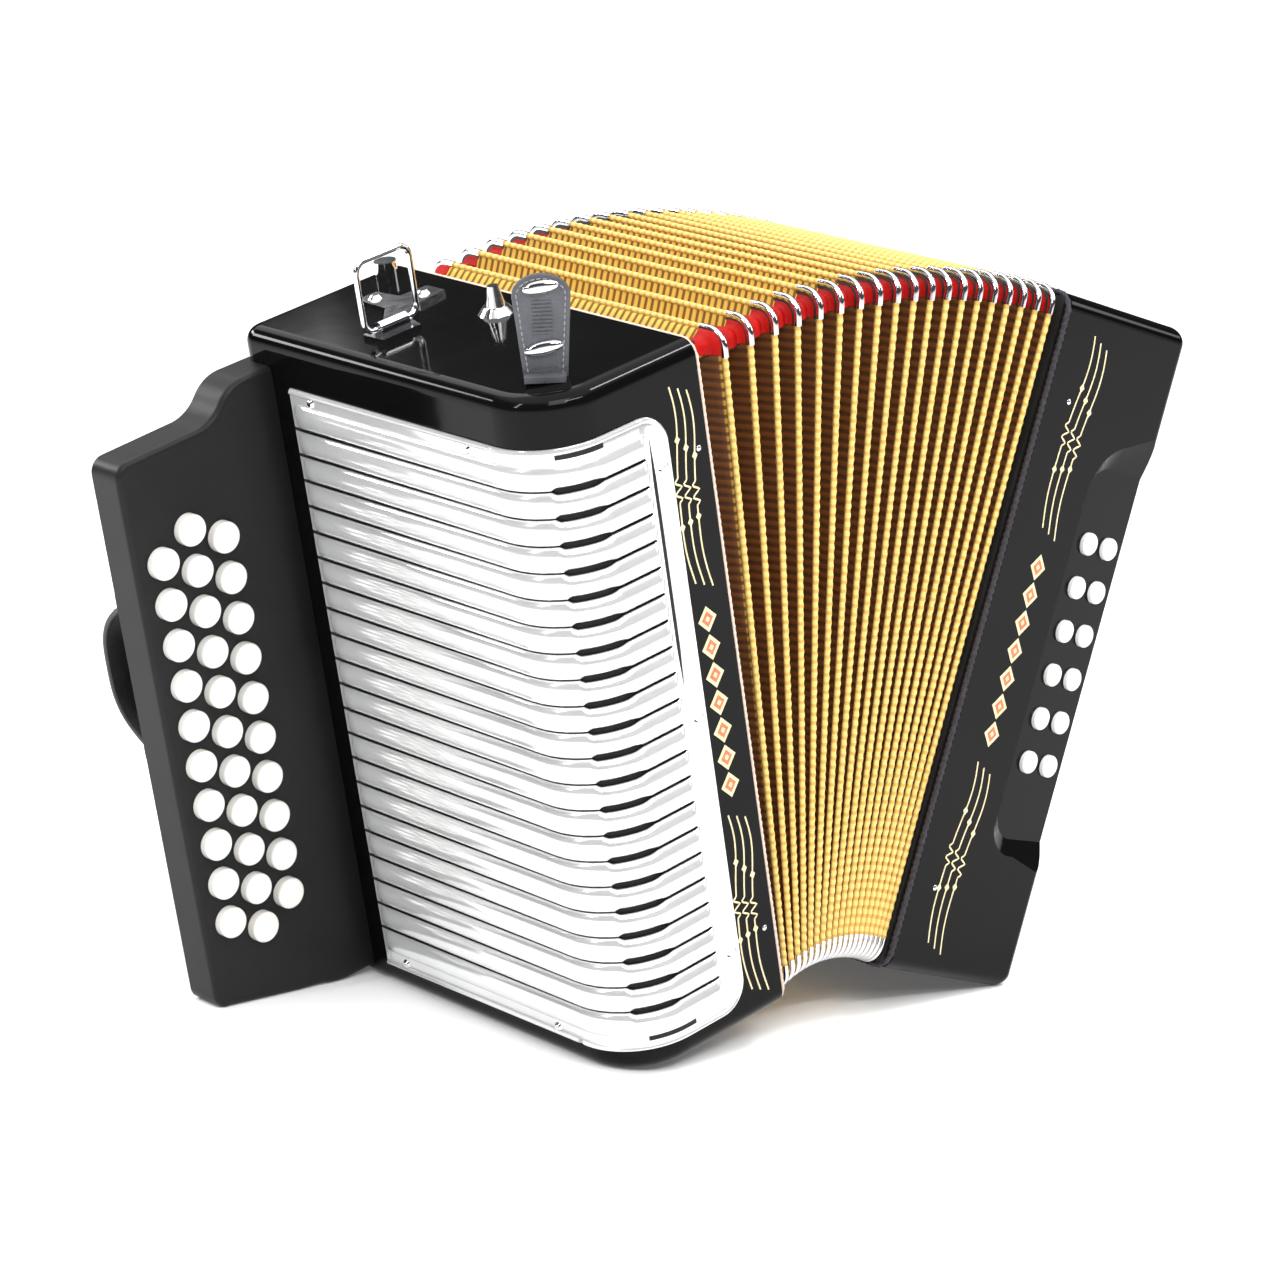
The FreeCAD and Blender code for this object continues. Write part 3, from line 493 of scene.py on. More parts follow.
def grille_section(along):
    """The grille's section at one station, as (z, lift, is dark) from bottom to top."""
    into = along - (GRILLE_RUN - GRILLE_CORNER)
    drop = GRILLE_CORNER - math.sqrt(GRILLE_CORNER ** 2 - into ** 2) if into > 0 else 0.0
    low = GRILLE_LOW + drop
    high = GRILLE_HIGH - drop
    edge = min(1.0, (GRILLE_RUN - along) / 0.5)
    swell = smooth((along - 1.5) / 4) * smooth((RIB_END - along) / 5)
    half = slot_half(along)
    section = [(low, 0.0, False), (low, 0.9 * edge, False), (low + 0.4, GRILLE_SKIN * edge, False)]
    for rib in range(RIB_COUNT):
        start = RIB_FIRST + rib * RIB_PITCH + (half if rib else 0.3)
        end = RIB_FIRST + (rib + 1) * RIB_PITCH - (half if rib < RIB_COUNT - 1 else 0.3)
        for share in RIB_SHARES:
            bulge = math.sin(math.pi * share) ** 0.6 if 0 < share < 1 else 0.0
            section.append((start + (end - start) * share,
                            GRILLE_SKIN * edge + RIB_RISE * bulge * swell, False))
        if rib < RIB_COUNT - 1:
            floor = GRILLE_SKIN * edge - slot_depth(along) * swell
            section.append((end + 0.02, floor, True))
            section.append((end + 2 * half - 0.02, floor, True))
    section += [(high - 0.4, GRILLE_SKIN * edge, False), (high, 0.9 * edge, False),
                (high, 0.0, False)]
    return [(min(max(z, low), high), lift, dark) for z, lift, dark in section]


def grille():
    """Ribbed chrome sheet with a raised bead, a grey border strip of painted shade, and black-painted gaps and
    strips standing for shade and dark reflection.
    """
    shape = Build()
    sections = [(along, grille_section(along)) for along in grille_stations()]
    shape.grid([[on_grille(along, z, lift) for z, lift, _ in section]
                for along, section in sections])
    # The gaps' floors between ribs and the backing under the sheet are painted black as shade of the dark inside;
    # the fine lines' black widening towards the fingerboard paints the fingerboard's dark reflection.
    dark = []
    for along, section in sections[:-1]:
        shows = along < RIB_END - 2
        dark += [int(shows and (a[2] or b[2])) for a, b in zip(section, section[1:])]
    shape.grid([[on_grille(along, section[0][0], 0.0), on_grille(along, section[-1][0], 0.0)]
                for along, section in sections])
    dark += [1] * (len(sections) - 1)
    sheet = shape.piece("treble_grille_sheet", [GRILLE, SLOT_SHADE], TREBLE_BODY,
                        smooth=50)
    sheet.data.polygons.foreach_set("material_index", dark)
    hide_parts("treble_grille")

    bead = Build()
    inset = 1.2
    turn = GRILLE_CORNER - inset
    end = GRILLE_RUN - inset
    low = GRILLE_LOW + inset
    high = GRILLE_HIGH - inset
    route = [(along, low) for along in steps(0.6, end - turn, 70)]
    route += [(end - turn + turn * math.sin(a), low + turn - turn * math.cos(a))
              for a in steps(0, math.pi / 2, 10)[1:]]
    route += [(end, z) for z in steps(low + turn, high - turn, 40)[1:]]
    route += [(end - turn + turn * math.cos(a), high - turn + turn * math.sin(a))
              for a in steps(0, math.pi / 2, 10)[1:]]
    route += [(along, high) for along in steps(end - turn, 0.6, 70)[1:]]
    bead.tube([on_grille(along, z, GRILLE_SKIN) for along, z in route], 1.05, 8)
    bead.piece("treble_grille_bead", GRILLE, TREBLE_BODY)

    # Grey strip of painted shade along the front border.
    border = Build()
    front_strip(border, RIB_END + 4.6, 3.0, GRILLE_LOW + 12, GRILLE_HIGH - 10, 0.03)
    border.piece("treble_grille_border", GRILLE_BORDER_SHADE, TREBLE_BODY)

    # Black strips of painted dark reflection: one down the front border, and two along the top and bottom over the
    # corner.
    gap = Build()
    front_strip(gap, RIB_END + 1.2, 0.9, 165, GRILLE_HIGH - 8, 0.05)
    for z, run in ((GRILLE_HIGH - 3.6, (160, 181)), (RIB_FIRST - 1.8, (163, 186))):
        dark = [on_grille(along, z - 1.1, GRILLE_SKIN + 0.05) for along in steps(*run, 12)]
        lit = [on_grille(along, z + 1.1, GRILLE_SKIN + 0.05) for along in steps(*run, 12)]
        gap.grid([dark, lit])
    gap.piece("treble_grille_dark_reflections", SLOT_SHADE, TREBLE_BODY)


def front_strip(shape, along, half, low, high, lift):
    """Narrow strip over the front of the grille, tapering to a point at both ends."""
    rows = []
    for share in steps(0, 1, 40):
        wide = half * min(1.0, 6 * share, 6 * (1 - share)) + 0.02
        z = low + (high - low) * share
        rows.append([on_grille(along + u * wide, z, GRILLE_SKIN + lift) for u in (-1, 1)])
    shape.grid(rows)


# ---------------------------------------------------------------- bellows

joint = next(j for j in frame["joints"] if j["name"] == "bellows_fan")
HINGE = Vector(joint["pos_m"])
TREBLE_LEAN = math.atan2(TREBLE[0][2], TREBLE[2][2])
BASS_LEAN = math.atan2(BASS[0][2], BASS[2][2])
FAN_ANGLE = BASS_LEAN - TREBLE_LEAN
FAN_BULGE = 0.17  # how far the folds' lean runs ahead of an even fan
FAN_SKEW = 0.16  # more so next to the treble end
FOLD_DEPTH = 17.0
FIRST_RIDGE = 0.064
LAST_RIDGE = 0.977
RIDGE_SPREAD = 0.154  # extra spacing towards the treble end
FOLD_DROP = 5.8  # the folds sit this much lower next to the treble end
FOLD_FRONT = 3.8
FOLD_BACK = 190.5
PIPING = 1.3


def hinge_in(place):
    """The hinge's (x, z) in an end's frame."""
    local = place.inverted() @ HINGE
    return local.x, local.z


HINGE_TREBLE = hinge_in(TREBLE)
HINGE_BASS = hinge_in(BASS)
FOLD_LOW = -HINGE_TREBLE[1] + 0.6  # heights above the hinge
FOLD_HIGH = -HINGE_TREBLE[1] + HEIGHT + 1.2
STACK_LEFT = -HINGE_TREBLE[0] + FRAME_THICK
STACK_RIGHT = -HINGE_BASS[0] - FRAME_THICK
STACK = STACK_RIGHT - STACK_LEFT
FRONT_Y = (TREBLE @ Vector((0, 0, 0))).y


def fan_turn(share):
    """Lean of the fold plane a share of the way from treble to bass."""
    even = share * (1 - share)
    turned = share + FAN_BULGE * even + FAN_SKEW * even * (1 - 2 * share)
    return TREBLE_LEAN + FAN_ANGLE * turned


def fold_normal(share):
    """Across the fold plane, towards the bass end."""
    turn = fan_turn(share)
    return Vector((math.cos(turn), 0, -math.sin(turn)))


def local_pitch(share, height):
    """Distance between neighbouring ridges at a share and a height above the hinge."""
    step = 0.5 / FOLDS
    gap = fan_point(share + step, 0, height) - fan_point(share - step, 0, height)
    return gap.length / MM


def ridge_share(number):
    """Share of the way from treble to bass at a fold's ridge."""
    run = number / (FOLDS - 1)
    return FIRST_RIDGE + (LAST_RIDGE - FIRST_RIDGE) * (run + RIDGE_SPREAD * run * (1 - run))


def valley_share(number):
    """Share at the valley before a ridge; the first and last valleys lie on the end frames."""
    if number == 0:
        return 0.0
    if number == FOLDS:
        return 1.0
    return (ridge_share(number - 1) + ridge_share(number)) / 2


def fan_point(share, y, height):
    """Row-frame point at depth y and a height above the hinge, in the fold plane at share.

    Heights are those of the bass end's folds; they shrink a little towards the treble end.
    """
    settled = min(1.0, max(0.0, share / FIRST_RIDGE))
    drop = FOLD_DROP * settled * (1 - min(1.0, share) ** 2)
    height -= drop * (height - FOLD_LOW) / (FOLD_HIGH - FOLD_LOW)
    turn = fan_turn(share)
    across = STACK_LEFT + STACK * share
    x = HINGE.x + (across * math.cos(turn) + height * math.sin(turn)) * MM
    z = HINGE.z + (-across * math.sin(turn) + height * math.cos(turn)) * MM
    return Vector((x, FRONT_Y + y * MM, z))


def ring_route(inset, corner, corner_steps, side_step):
    """Points round a fold's rectangle as (y, height, distance along)."""
    y0 = FOLD_FRONT + inset
    y1 = FOLD_BACK - inset
    h0 = FOLD_LOW + inset
    h1 = FOLD_HIGH - inset
    centres = ((y1 - corner, h0 + corner, -90), (y1 - corner, h1 - corner, 0),
               (y0 + corner, h1 - corner, 90), (y0 + corner, h0 + corner, 180))
    sides = (y1 - y0 - 2 * corner, h1 - h0 - 2 * corner) * 2
    counts = (max(1, round((FOLD_BACK - FOLD_FRONT) / side_step)),
              max(1, round((FOLD_HIGH - FOLD_LOW) / side_step))) * 2
    points = []
    along = 0.0
    start = (y0 + corner, h0)
    for (cy, ch, angle), length, count in zip(centres, sides, counts):
        first = math.radians(angle)
        end = (cy + corner * math.cos(first), ch + corner * math.sin(first))
        for k in range(count):
            share = k / count
            points.append((start[0] + (end[0] - start[0]) * share,
                           start[1] + (end[1] - start[1]) * share, along + length * share))
        along += length
        for k in range(corner_steps):
            turn = first + math.pi / 2 * k / corner_steps
            points.append((cy + corner * math.cos(turn), ch + corner * math.sin(turn),
                           along + corner * math.pi / 2 * k / corner_steps))
        along += corner * math.pi / 2
        start = (cy + corner * math.cos(first + math.pi / 2),
                 ch + corner * math.sin(first + math.pi / 2))
    return points


def fan_weight(share):
    """How much of the fan's whole turn the fold plane at this share has taken."""
    return (fan_turn(share) - TREBLE_LEAN) / FAN_ANGLE


def blend_fold(thing, share):
    """Bake a fold piece's placement into its mesh; the fold is not bent.

    It also works out where the fold's share falls on a smoothstep of the fan's turn, and the span that would make
    the weight grow evenly across the fold, but nothing uses them.
    """
    low, high = 0.0, 1.0
    for _ in range(40):
        middle = (low + high) / 2
        if smooth(middle) < fan_weight(share):
            low = middle
        else:
            high = middle
    place = (low + high) / 2
    step = 0.25 / FOLDS
    normal = fold_normal(share)
    moved = fan_point(share + step, 0, FOLD_HIGH) - fan_point(share - step, 0, FOLD_HIGH)
    turned = fan_weight(share + step) - fan_weight(share - step)
    span = moved.dot(normal) / turned * 6 * place * (1 - place)
    start = fan_point(share, 0, FOLD_HIGH) - normal * span * place
    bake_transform(thing)


def add_attributes(thing, along, rise):
    for name, values in (("along", along), ("rise", rise)):
        attribute = thing.data.attributes.new(name, "FLOAT", "POINT")
        attribute.data.foreach_set("value", values)


CLOTH_THICK = 1.1
RIDGE_CORNER = 7.7
PIPING_STEP = 1.05
CORD_PITCH = 4.2
VALLEY_CORNER = 4.0
RING_STEPS = 10


def fold_cloth(number):
    """One fold: two cloth walls from valley to ridge, doubled so the cloth has thickness."""
    ridge = ridge_share(number)
    reach = {-1: valley_share(number) - ridge, 1: valley_share(number + 1) - ridge}
    wall = [(0.12, 0.06), (0.24, 0.2), (0.42, 0.4), (0.62, 0.62), (0.82, 0.86), (1.0, 1.0)]
    profile = [(-across, depth) for across, depth in reversed(wall)] + wall
    rows = []
    along_values = []
    rise_values = []
    for layer, line in ((0.0, profile), (CLOTH_THICK, profile[::-1])):
        for across, depth in line:
            inset = depth * FOLD_DEPTH + PIPING + layer
            corner = RIDGE_CORNER + (VALLEY_CORNER - RIDGE_CORNER) * depth
            row = []
            for y, height, _ in ring_route(inset, corner, RING_STEPS, 9):
                share = ridge + abs(across) * reach[-1 if across < 0 else 1]
                row.append(fan_point(share, y, height))
                on_side = min(y - FOLD_FRONT, FOLD_BACK - y) < inset + 0.01
                along_values.append((height if on_side else y) * MM)
                # Painted shade: on the front and back walls the rise falls with depth, darkening the valleys; on
                # the top and bottom faces it stays near 1 and is painted as lit gold.
                rise_values.append(1 - depth * (1.0 if on_side else 0.01))
            rows.append(row)
    shape = Build()
    shape.grid(rows, wrap_rows=True, wrap_columns=True)
    thing = shape.piece(f"fold_cloth_{number + 1:02d}", GOLD_CLOTH, smooth=60)
    add_attributes(thing, along_values, rise_values)
    blend_fold(thing, ridge)
    return thing


def piping(name, share, material, radius, inset=PIPING):
    """Corded tape round the rectangle of one fold plane."""
    route = ring_route(inset, RIDGE_CORNER, 2 * RING_STEPS, PIPING_STEP)
    path = [fan_point(share, y, height) for y, height, _ in route]
    across = fold_normal(share)
    sides = 8
    rows = []
    along_values = []
    for k, middle in enumerate(path):
        run = (path[(k + 1) % len(path)] - path[k - 1]).normalized()
        out = run.cross(across).normalized()
        wave = math.sin(2 * math.pi * route[k][2] / CORD_PITCH)
        slim = min(1.0, PIPING_SHARE * local_pitch(share, route[k][1]) / radius)
        size = radius * (1 + 0.06 * wave) * MM
        middle = middle + across * 0.09 * wave * radius * MM
        row = []
        for step in range(sides):
            angle = 2 * math.pi * step / sides
            row.append(middle + across * math.cos(angle) * size * slim
                       + out * math.sin(angle) * size)
            along_values.append(route[k][2] * MM)
        rows.append(row)
    shape = Build()
    shape.grid(rows, wrap_rows=True, wrap_columns=True)
    thing = shape.piece(name, material, smooth=80)
    add_attributes(thing, along_values, [1.0] * len(along_values))
    return thing


def fold_piping(number):
    share = ridge_share(number)
    blend_fold(piping(f"fold_piping_{number + 1:02d}", share, GOLD_PIPING, PIPING), share)


CAP_LEG_SIDE = 3.5
CAP_LEG_TOP = 5.2
CAP_HALF = 1.45
CAP_SHARE = 0.34  # half widths at most, as shares of the local pitch
PIPING_SHARE = 0.36
CAP_PROFILE = ((-1.0, -2.0), (-1.0, -0.6), (-0.85, -0.05), (-0.5, 0.32), (0.0, 0.45), (0.5, 0.32),
               (0.85, -0.05), (1.0, -0.6), (1.0, -2.0), (0.8, -2.0), (0.8, -0.7), (0.45, -0.2),
               (0.0, -0.1), (-0.45, -0.2), (-0.8, -0.7), (-0.8, -2.0))
# Black strip under each cap: painted shadow of the cap.
CAP_SHADOW_PROFILE = ((-0.9, -3.6), (-0.9, -1.7), (0.9, -1.7), (0.9, -3.6))


def cap_path(y_side, h_side):
    """Centre line of one corner cap as (y, height), from its upright leg to its level one."""
    corner = RIDGE_CORNER + PIPING
    y0 = FOLD_FRONT if y_side < 0 else FOLD_BACK
    h0 = FOLD_LOW if h_side < 0 else FOLD_HIGH
    into_y = -y_side
    into_h = -h_side
    points = [(y0, h0 + into_h * (corner + CAP_LEG_SIDE * (1 - k / 5))) for k in range(5)]
    for k in range(13):
        turn = math.pi / 2 * k / 12
        points.append((y0 + into_y * (corner - corner * math.cos(turn)),
                       h0 + into_h * (corner - corner * math.sin(turn))))
    points += [(y0 + into_y * (corner + CAP_LEG_TOP * k / 4), h0) for k in range(1, 5)]
    return points


def ridge_caps(name, share):
    """Four bright metal caps bent over a ridge's corners, on black strips of painted shadow."""
    across = fold_normal(share)
    centre = fan_point(share, (FOLD_FRONT + FOLD_BACK) / 2, (FOLD_LOW + FOLD_HIGH) / 2)
    shape = Build()
    finish = []
    for profile, material in ((CAP_PROFILE, 0), (CAP_SHADOW_PROFILE, 1)):
        for y_side in (-1, 1):
            for h_side in (-1, 1):
                path = [fan_point(share, y, height) for y, height in cap_path(y_side, h_side)]
                corner_height = FOLD_LOW if h_side < 0 else FOLD_HIGH
                half = min(CAP_HALF, CAP_SHARE * local_pitch(share, corner_height))
                rows = []
                for k, middle in enumerate(path):
                    run = (path[min(len(path) - 1, k + 1)] - path[max(0, k - 1)]).normalized()
                    out = run.cross(across).normalized()
                    if out.dot(middle - centre) < 0:
                        out = -out
                    rows.append([middle + (across * u * half + out * v) * MM
                                 for u, v in profile])
                before = len(shape.faces)
                shape.grid(rows, wrap_columns=True, cap=True)
                finish += [material] * (len(shape.faces) - before)
    # The strips under the caps take black as painted shadow.
    thing = shape.piece(name, [FITTING, BLACK_LEATHER], smooth=50)
    thing.data.polygons.foreach_set("material_index", finish)
    return thing


def fold_caps(number):
    share = ridge_share(number)
    thing = ridge_caps(f"fold_caps_{number + 1:02d}", share)
    blend_fold(thing, share)
    return thing


# Share of the way between two ridges, and depth below the ridge.
GUSSET_SINK = ((0.03, 1.6), (0.07, 2.1), (0.11, 3.9), (0.16, 5.5), (0.22, 6.0), (0.32, 5.0),
               (0.42, 4.2), (0.5, 3.9))


def gussets(name, low_share, high_share, from_middle=False):
    """Red leather that closes the four corners of the valley between two fold planes."""
    shape = Build()
    half = GUSSET_SINK[:-1]
    spread = GUSSET_SINK + tuple((1 - t, sink) for t, sink in reversed(half))
    if from_middle:
        spread = spread[len(half):]
    for y_side in (-1, 1):
        for h_side in (-1, 1):
            rows = []
            for k in range(13):
                at = gusset_arc(y_side, h_side, k / 12)
                row = []
                for layer, line in ((0.0, spread), (0.8, reversed(spread))):
                    for t, sink in line:
                        share = low_share + (high_share - low_share) * t
                        row.append(fan_point(share, *at(sink + layer)))
                rows.append(row)
            shape.grid(rows, wrap_columns=True, cap=True)
    return shape.piece(name, RED_LEATHER, smooth=60)


def gusset_arc(y_side, h_side, part):
    """Function giving (y, height) of the gusset's outline at part 0 to 1, sunk by a distance."""
    corner = RIDGE_CORNER + PIPING
    side_reach = CAP_LEG_SIDE - 0.6
    top_reach = CAP_LEG_TOP - 0.6
    y0 = FOLD_FRONT if y_side < 0 else FOLD_BACK
    h0 = FOLD_LOW if h_side < 0 else FOLD_HIGH
    arc = corner * math.pi / 2
    total = side_reach + arc + top_reach
    run = part * total

    def at(sink):
        if run < side_reach:
            flat = (sink, corner + side_reach - run)
        elif run < side_reach + arc:
            turn = (run - side_reach) / corner
            flat = (corner - (corner - sink) * math.cos(turn),
                    corner - (corner - sink) * math.sin(turn))
        else:
            flat = (corner + run - side_reach - arc, sink)
        return y0 - y_side * flat[0], h0 - h_side * flat[1]
    return at


def bellows():
    for number in range(FOLDS):
        cloth = fold_cloth(number)
        fold_piping(number)
        caps = fold_caps(number)
        if number == 0:
            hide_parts("bellows_pleats")
            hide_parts("bellows_corners")
        if number:
            thing = gussets(f"fold_gussets_{number + 1:02d}", ridge_share(number - 1),
                            ridge_share(number))
            blend_fold(thing, valley_share(number))
    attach(gussets("treble_end_gussets", -FIRST_RIDGE, FIRST_RIDGE, True), TREBLE_BODY)
    edge_trim("treble_edge_piping", 1.0, 0.8, CREAM_THREAD, TREBLE_BODY)
    edge_trim("bass_edge_thread", -1.5, 1.35, PLUM_THREAD, BASS_BODY)


def edge_trim(name, x, radius, material, body):
    """Twisted thread round an end's edge where the bellows start."""
    route = []
    outline = rounded_rectangle(CASE_DEPTH - 1.2, HEIGHT - 1.2, 8, corner_steps=12)
    for (y1, z1), (y2, z2) in zip(outline, outline[1:] + outline[:1]):
        count = max(1, round(math.hypot(y2 - y1, z2 - z1) / 0.8))
        route += [(y1 + (y2 - y1) * k / count, z1 + (z2 - z1) * k / count) for k in range(count)]
    path = [Vector((x, CASE_DEPTH / 2 + y, HEIGHT / 2 + z)) for y, z in route]
    shape = Build()
    shape.tube(path, lambda k: radius * (1 + 0.15 * math.sin(math.pi * k / 2)), 8, closed=True,
               up=RIGHTWARD)
    shape.piece(name, material, body, smooth=80)


# ---------------------------------------------------------------- straps and small fittings

def leather_band(shape, path, out, wide, thick):
    """Leather strip along a path, with rounded edges; out is the way each point's top faces.

    The path and out vectors are for the strip's underside, and wide is its width vector.
    """
    half = wide.length / 2
    side = wide.normalized()
    section = ((-1, 0.25), (-1, 0.75), (-0.95, 1.0), (0, 1.06), (0.95, 1.0), (1, 0.75), (1, 0.25),
               (0.95, 0.0), (0, 0.0), (-0.95, 0.0))
    rows = [[middle + side * u * half + lift * v * thick for u, v in section]
            for middle, lift in zip(path, out)]
    shape.grid(rows, wrap_columns=True, cap=True)


STITCH_RISE = 0.22


def stitches(shape, path, out, pitch, length, up):
    """Row of thread stitches lying on a surface along a path."""
    run = 0.0
    wanted = pitch / 2
    for a, b, lift in zip(path, path[1:], out):
        step = (b - a).length
        while wanted <= run + step and step > 1e-9:
            middle = a + (b - a) * ((wanted - run) / step)
            half = (b - a).normalized() * length / 2
            raised = lift * STITCH_RISE
            ends = [middle - half, middle - half * 0.5 + raised, middle + half * 0.5 + raised,
                    middle + half]
            shape.tube(ends, lambda k: (0.12, 0.3, 0.3, 0.12)[k], 6, up=up)
            wanted += pitch
        run += step


def arch_path(start, foot, span, rise, count=40):
    """Side view of a strap, flat at both ends and arched between, as (run, height) and normals."""
    total = 2 * foot + span
    points = []
    for x in steps(0, total, count):
        t = min(1.0, max(0.0, (x - foot) / span))
        height = rise * (1 - abs(2 * t - 1) ** 3.2) if 0 < t < 1 else 0.0
        points.append((start + x, height))
    normals = []
    for k in range(len(points)):
        a = points[max(0, k - 1)]
        b = points[min(len(points) - 1, k + 1)]
        size = math.hypot(b[0] - a[0], b[1] - a[1])
        normals.append((-(b[1] - a[1]) / size, (b[0] - a[0]) / size))
    return points, normals


def thumb_strap():
    """Leather thumb loop behind the fingerboard's free edge."""
    points, normals = arch_path(140, 8, 62, 17)
    middle_x = -TREBLE_THICK - 86.5 + 13
    path = [Vector((middle_x, 195 + height, z)) for z, height in points]
    out = [Vector((0, rise, run)) for run, rise in normals]
    shape = Build()
    leather_band(shape, path, out, Vector((24, 0, 0)), 2.4)
    band = shape.piece("thumb_strap_band", BLACK_LEATHER, TREBLE_BODY)
    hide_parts("thumb_strap")
    thread = Build()
    for side in (-9.8, 9.8):
        lifted = [p + n * 2.5 + Vector((side, 0, 0)) for p, n in zip(path, out)]
        stitches(thread, lifted, out, 3.0, 2.2, RIGHTWARD)
    thread.piece("thumb_strap_thread", BLACK_THREAD, TREBLE_BODY)
    rivets = Build()
    for z in (144, 214):
        rivets.dome(Vector((middle_x, 197.3, z)), BACKWARD,
                    ((3.4, 0.0), (3.4, 0.5), (2.9, 1.1), (1.7, 1.5), (0.3, 1.6)))
    rivets.piece("thumb_strap_rivets", FITTING, TREBLE_BODY)


TAB_TALL = 44.0
TAB_FOOT = 18.0
TAB_HEAD = 24.0
TAB_THICK = 2.5
TAB_TURN = math.radians(-44)
TAB_LEAN = math.radians(6)
TAB_PLACE = Vector((-60.5, 23.5, HEIGHT))


def tab_point(u, v, out):
    """Point of the bellows strap: across, up, and out of its front face."""
    flat = Vector((u, -out, v))
    turn = Matrix.Rotation(TAB_LEAN, 3, "Y") @ Matrix.Rotation(TAB_TURN, 3, "Z")
    return turn @ flat + TAB_PLACE


def tab_outline(inset):
    """Outline of the tab from its lower left corner, anticlockwise, pulled in by a distance."""
    foot = TAB_FOOT / 2 - inset
    head = TAB_HEAD / 2 - inset
    shoulder = TAB_TALL - 9
    points = [(-foot, inset), (foot, inset)]
    points += [(foot + (head - foot) * t, inset + (shoulder - inset) * t)
               for t in steps(0, 1, 8)[1:]]
    for turn in steps(0, math.pi, 14)[1:]:
        points.append((head * math.cos(turn), shoulder + (9 - inset) * math.sin(turn)))
    points += [(-head + (head - foot) * t, shoulder - (shoulder - inset) * t)
               for t in steps(0, 1, 8)[1:-1]]
    return points


def bellows_strap():
    """Leather tab with a stitched edge, a ribbed panel and two chrome snaps."""
    shape = Build()
    layers = ((0.7, -TAB_THICK), (0.0, -TAB_THICK + 0.6), (0.0, -0.6), (0.25, -0.15), (0.8, 0.0),
              (2.9, 0.0), (3.4, -0.3), (3.9, -0.3))
    shape.grid([[tab_point(u, v, out) for u, v in tab_outline(inset)] for inset, out in layers],
               wrap_columns=True, cap=True)
    foot_corners = ((-8.5, 0.2), (8.5, 0.2), (8.5, 2.7), (-8.5, 2.7))
    foot = [tab_point(u, v, -TAB_THICK) for u, v in foot_corners]
    shape.slab(foot, tab_point(0, 0, 9.5) - tab_point(0, 0, 0))
    for v in steps(19, 32, 8):
        bar = [tab_point(u, w, -0.35) for u, w in ((-4, v), (4, v), (4, v + 0.8), (-4, v + 0.8))]
        shape.slab(bar, tab_point(0, 0, 0.45) - tab_point(0, 0, 0))
    tab = shape.piece("bellows_strap_tab", GREY_LEATHER, TREBLE_BODY)
    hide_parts("bellows_strap")
    thread = Build()
    outline = tab_outline(2.0) + tab_outline(2.0)[:1]
    path = [tab_point(u, v, 0.0) for u, v in outline]
    lift = tab_point(0, 0, 1) - tab_point(0, 0, 0)
    stitches(thread, path, [lift] * len(path), 2.6, 1.9, lift)
    thread.piece("bellows_strap_thread", GREY_THREAD, TREBLE_BODY)
    snaps = Build()
    profile = ((1.0, -0.2), (1.0, 0.5), (0.93, 1.1), (0.75, 1.7), (0.4, 2.1), (0.05, 2.2))
    for v, half, tall, lean in ((38.5, 7.6, 3.0, 0.12), (13.0, 8.0, 3.2, 0.18)):
        rows = []
        for scale, out in profile:
            row = []
            for a in steps(0, 2 * math.pi, 28)[:-1]:
                u = half * scale * math.cos(a)
                row.append(tab_point(u, v + tall * scale * math.sin(a) + u * lean, out))
            rows.append(row)
        snaps.grid(rows, wrap_columns=True, cap=True)
    snaps.piece("bellows_strap_snaps", FITTING, TREBLE_BODY)


HAND_STRAP_Y = 109.0
HAND_STRAP_WIDE = 62.0
PLATE_HEIGHTS = (38, 272)


def hand_strap():
    """Wide leather hand strap with its end plates."""
    points, normals = arch_path(30, 16, 218, 34, 60)
    path = [Vector((BASS_THICK + height, HAND_STRAP_Y, z)) for z, height in points]
    out = [Vector((rise, 0, run)) for run, rise in normals]
    shape = Build()
    leather_band(shape, path, out, Vector((0, HAND_STRAP_WIDE, 0)), 2.8)
    band = shape.piece("hand_strap_band", BLACK_LEATHER, BASS_BODY)
    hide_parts("bass_strap_set")
    thread = Build()
    for side in (-HAND_STRAP_WIDE / 2 + 3, HAND_STRAP_WIDE / 2 - 3):
        lifted = [p + n * 2.9 + Vector((0, side, 0)) for p, n in zip(path, out)]
        stitches(thread, lifted, out, 4.0, 2.9, BACKWARD)
    thread.piece("hand_strap_thread", BLACK_THREAD, BASS_BODY)
    plates = Build()
    for z in PLATE_HEIGHTS:
        flat = rounded_rectangle(HAND_STRAP_WIDE + 6, 12, 2.5)
        rows = []
        for inset, lift in ((0, 0.1), (0, 1.6), (0.4, 2.2), (1.0, 2.4)):
            shrink = 1 - inset / 6
            rows.append([Vector((BASS_THICK + 3 + lift, HAND_STRAP_Y + u * (1 - inset / 34),
                                 z + v * shrink)) for u, v in flat])
        plates.grid(rows, wrap_columns=True, cap=True)
        for y in (HAND_STRAP_Y - 26, HAND_STRAP_Y + 26):
            plates.dome(Vector((BASS_THICK + 5.3, y, z)), RIGHTWARD,
                        ((3.2, 0.0), (3.1, 0.6), (2.2, 1.3), (0.3, 1.6)))
    plates.piece("hand_strap_plates", FITTING, BASS_BODY)


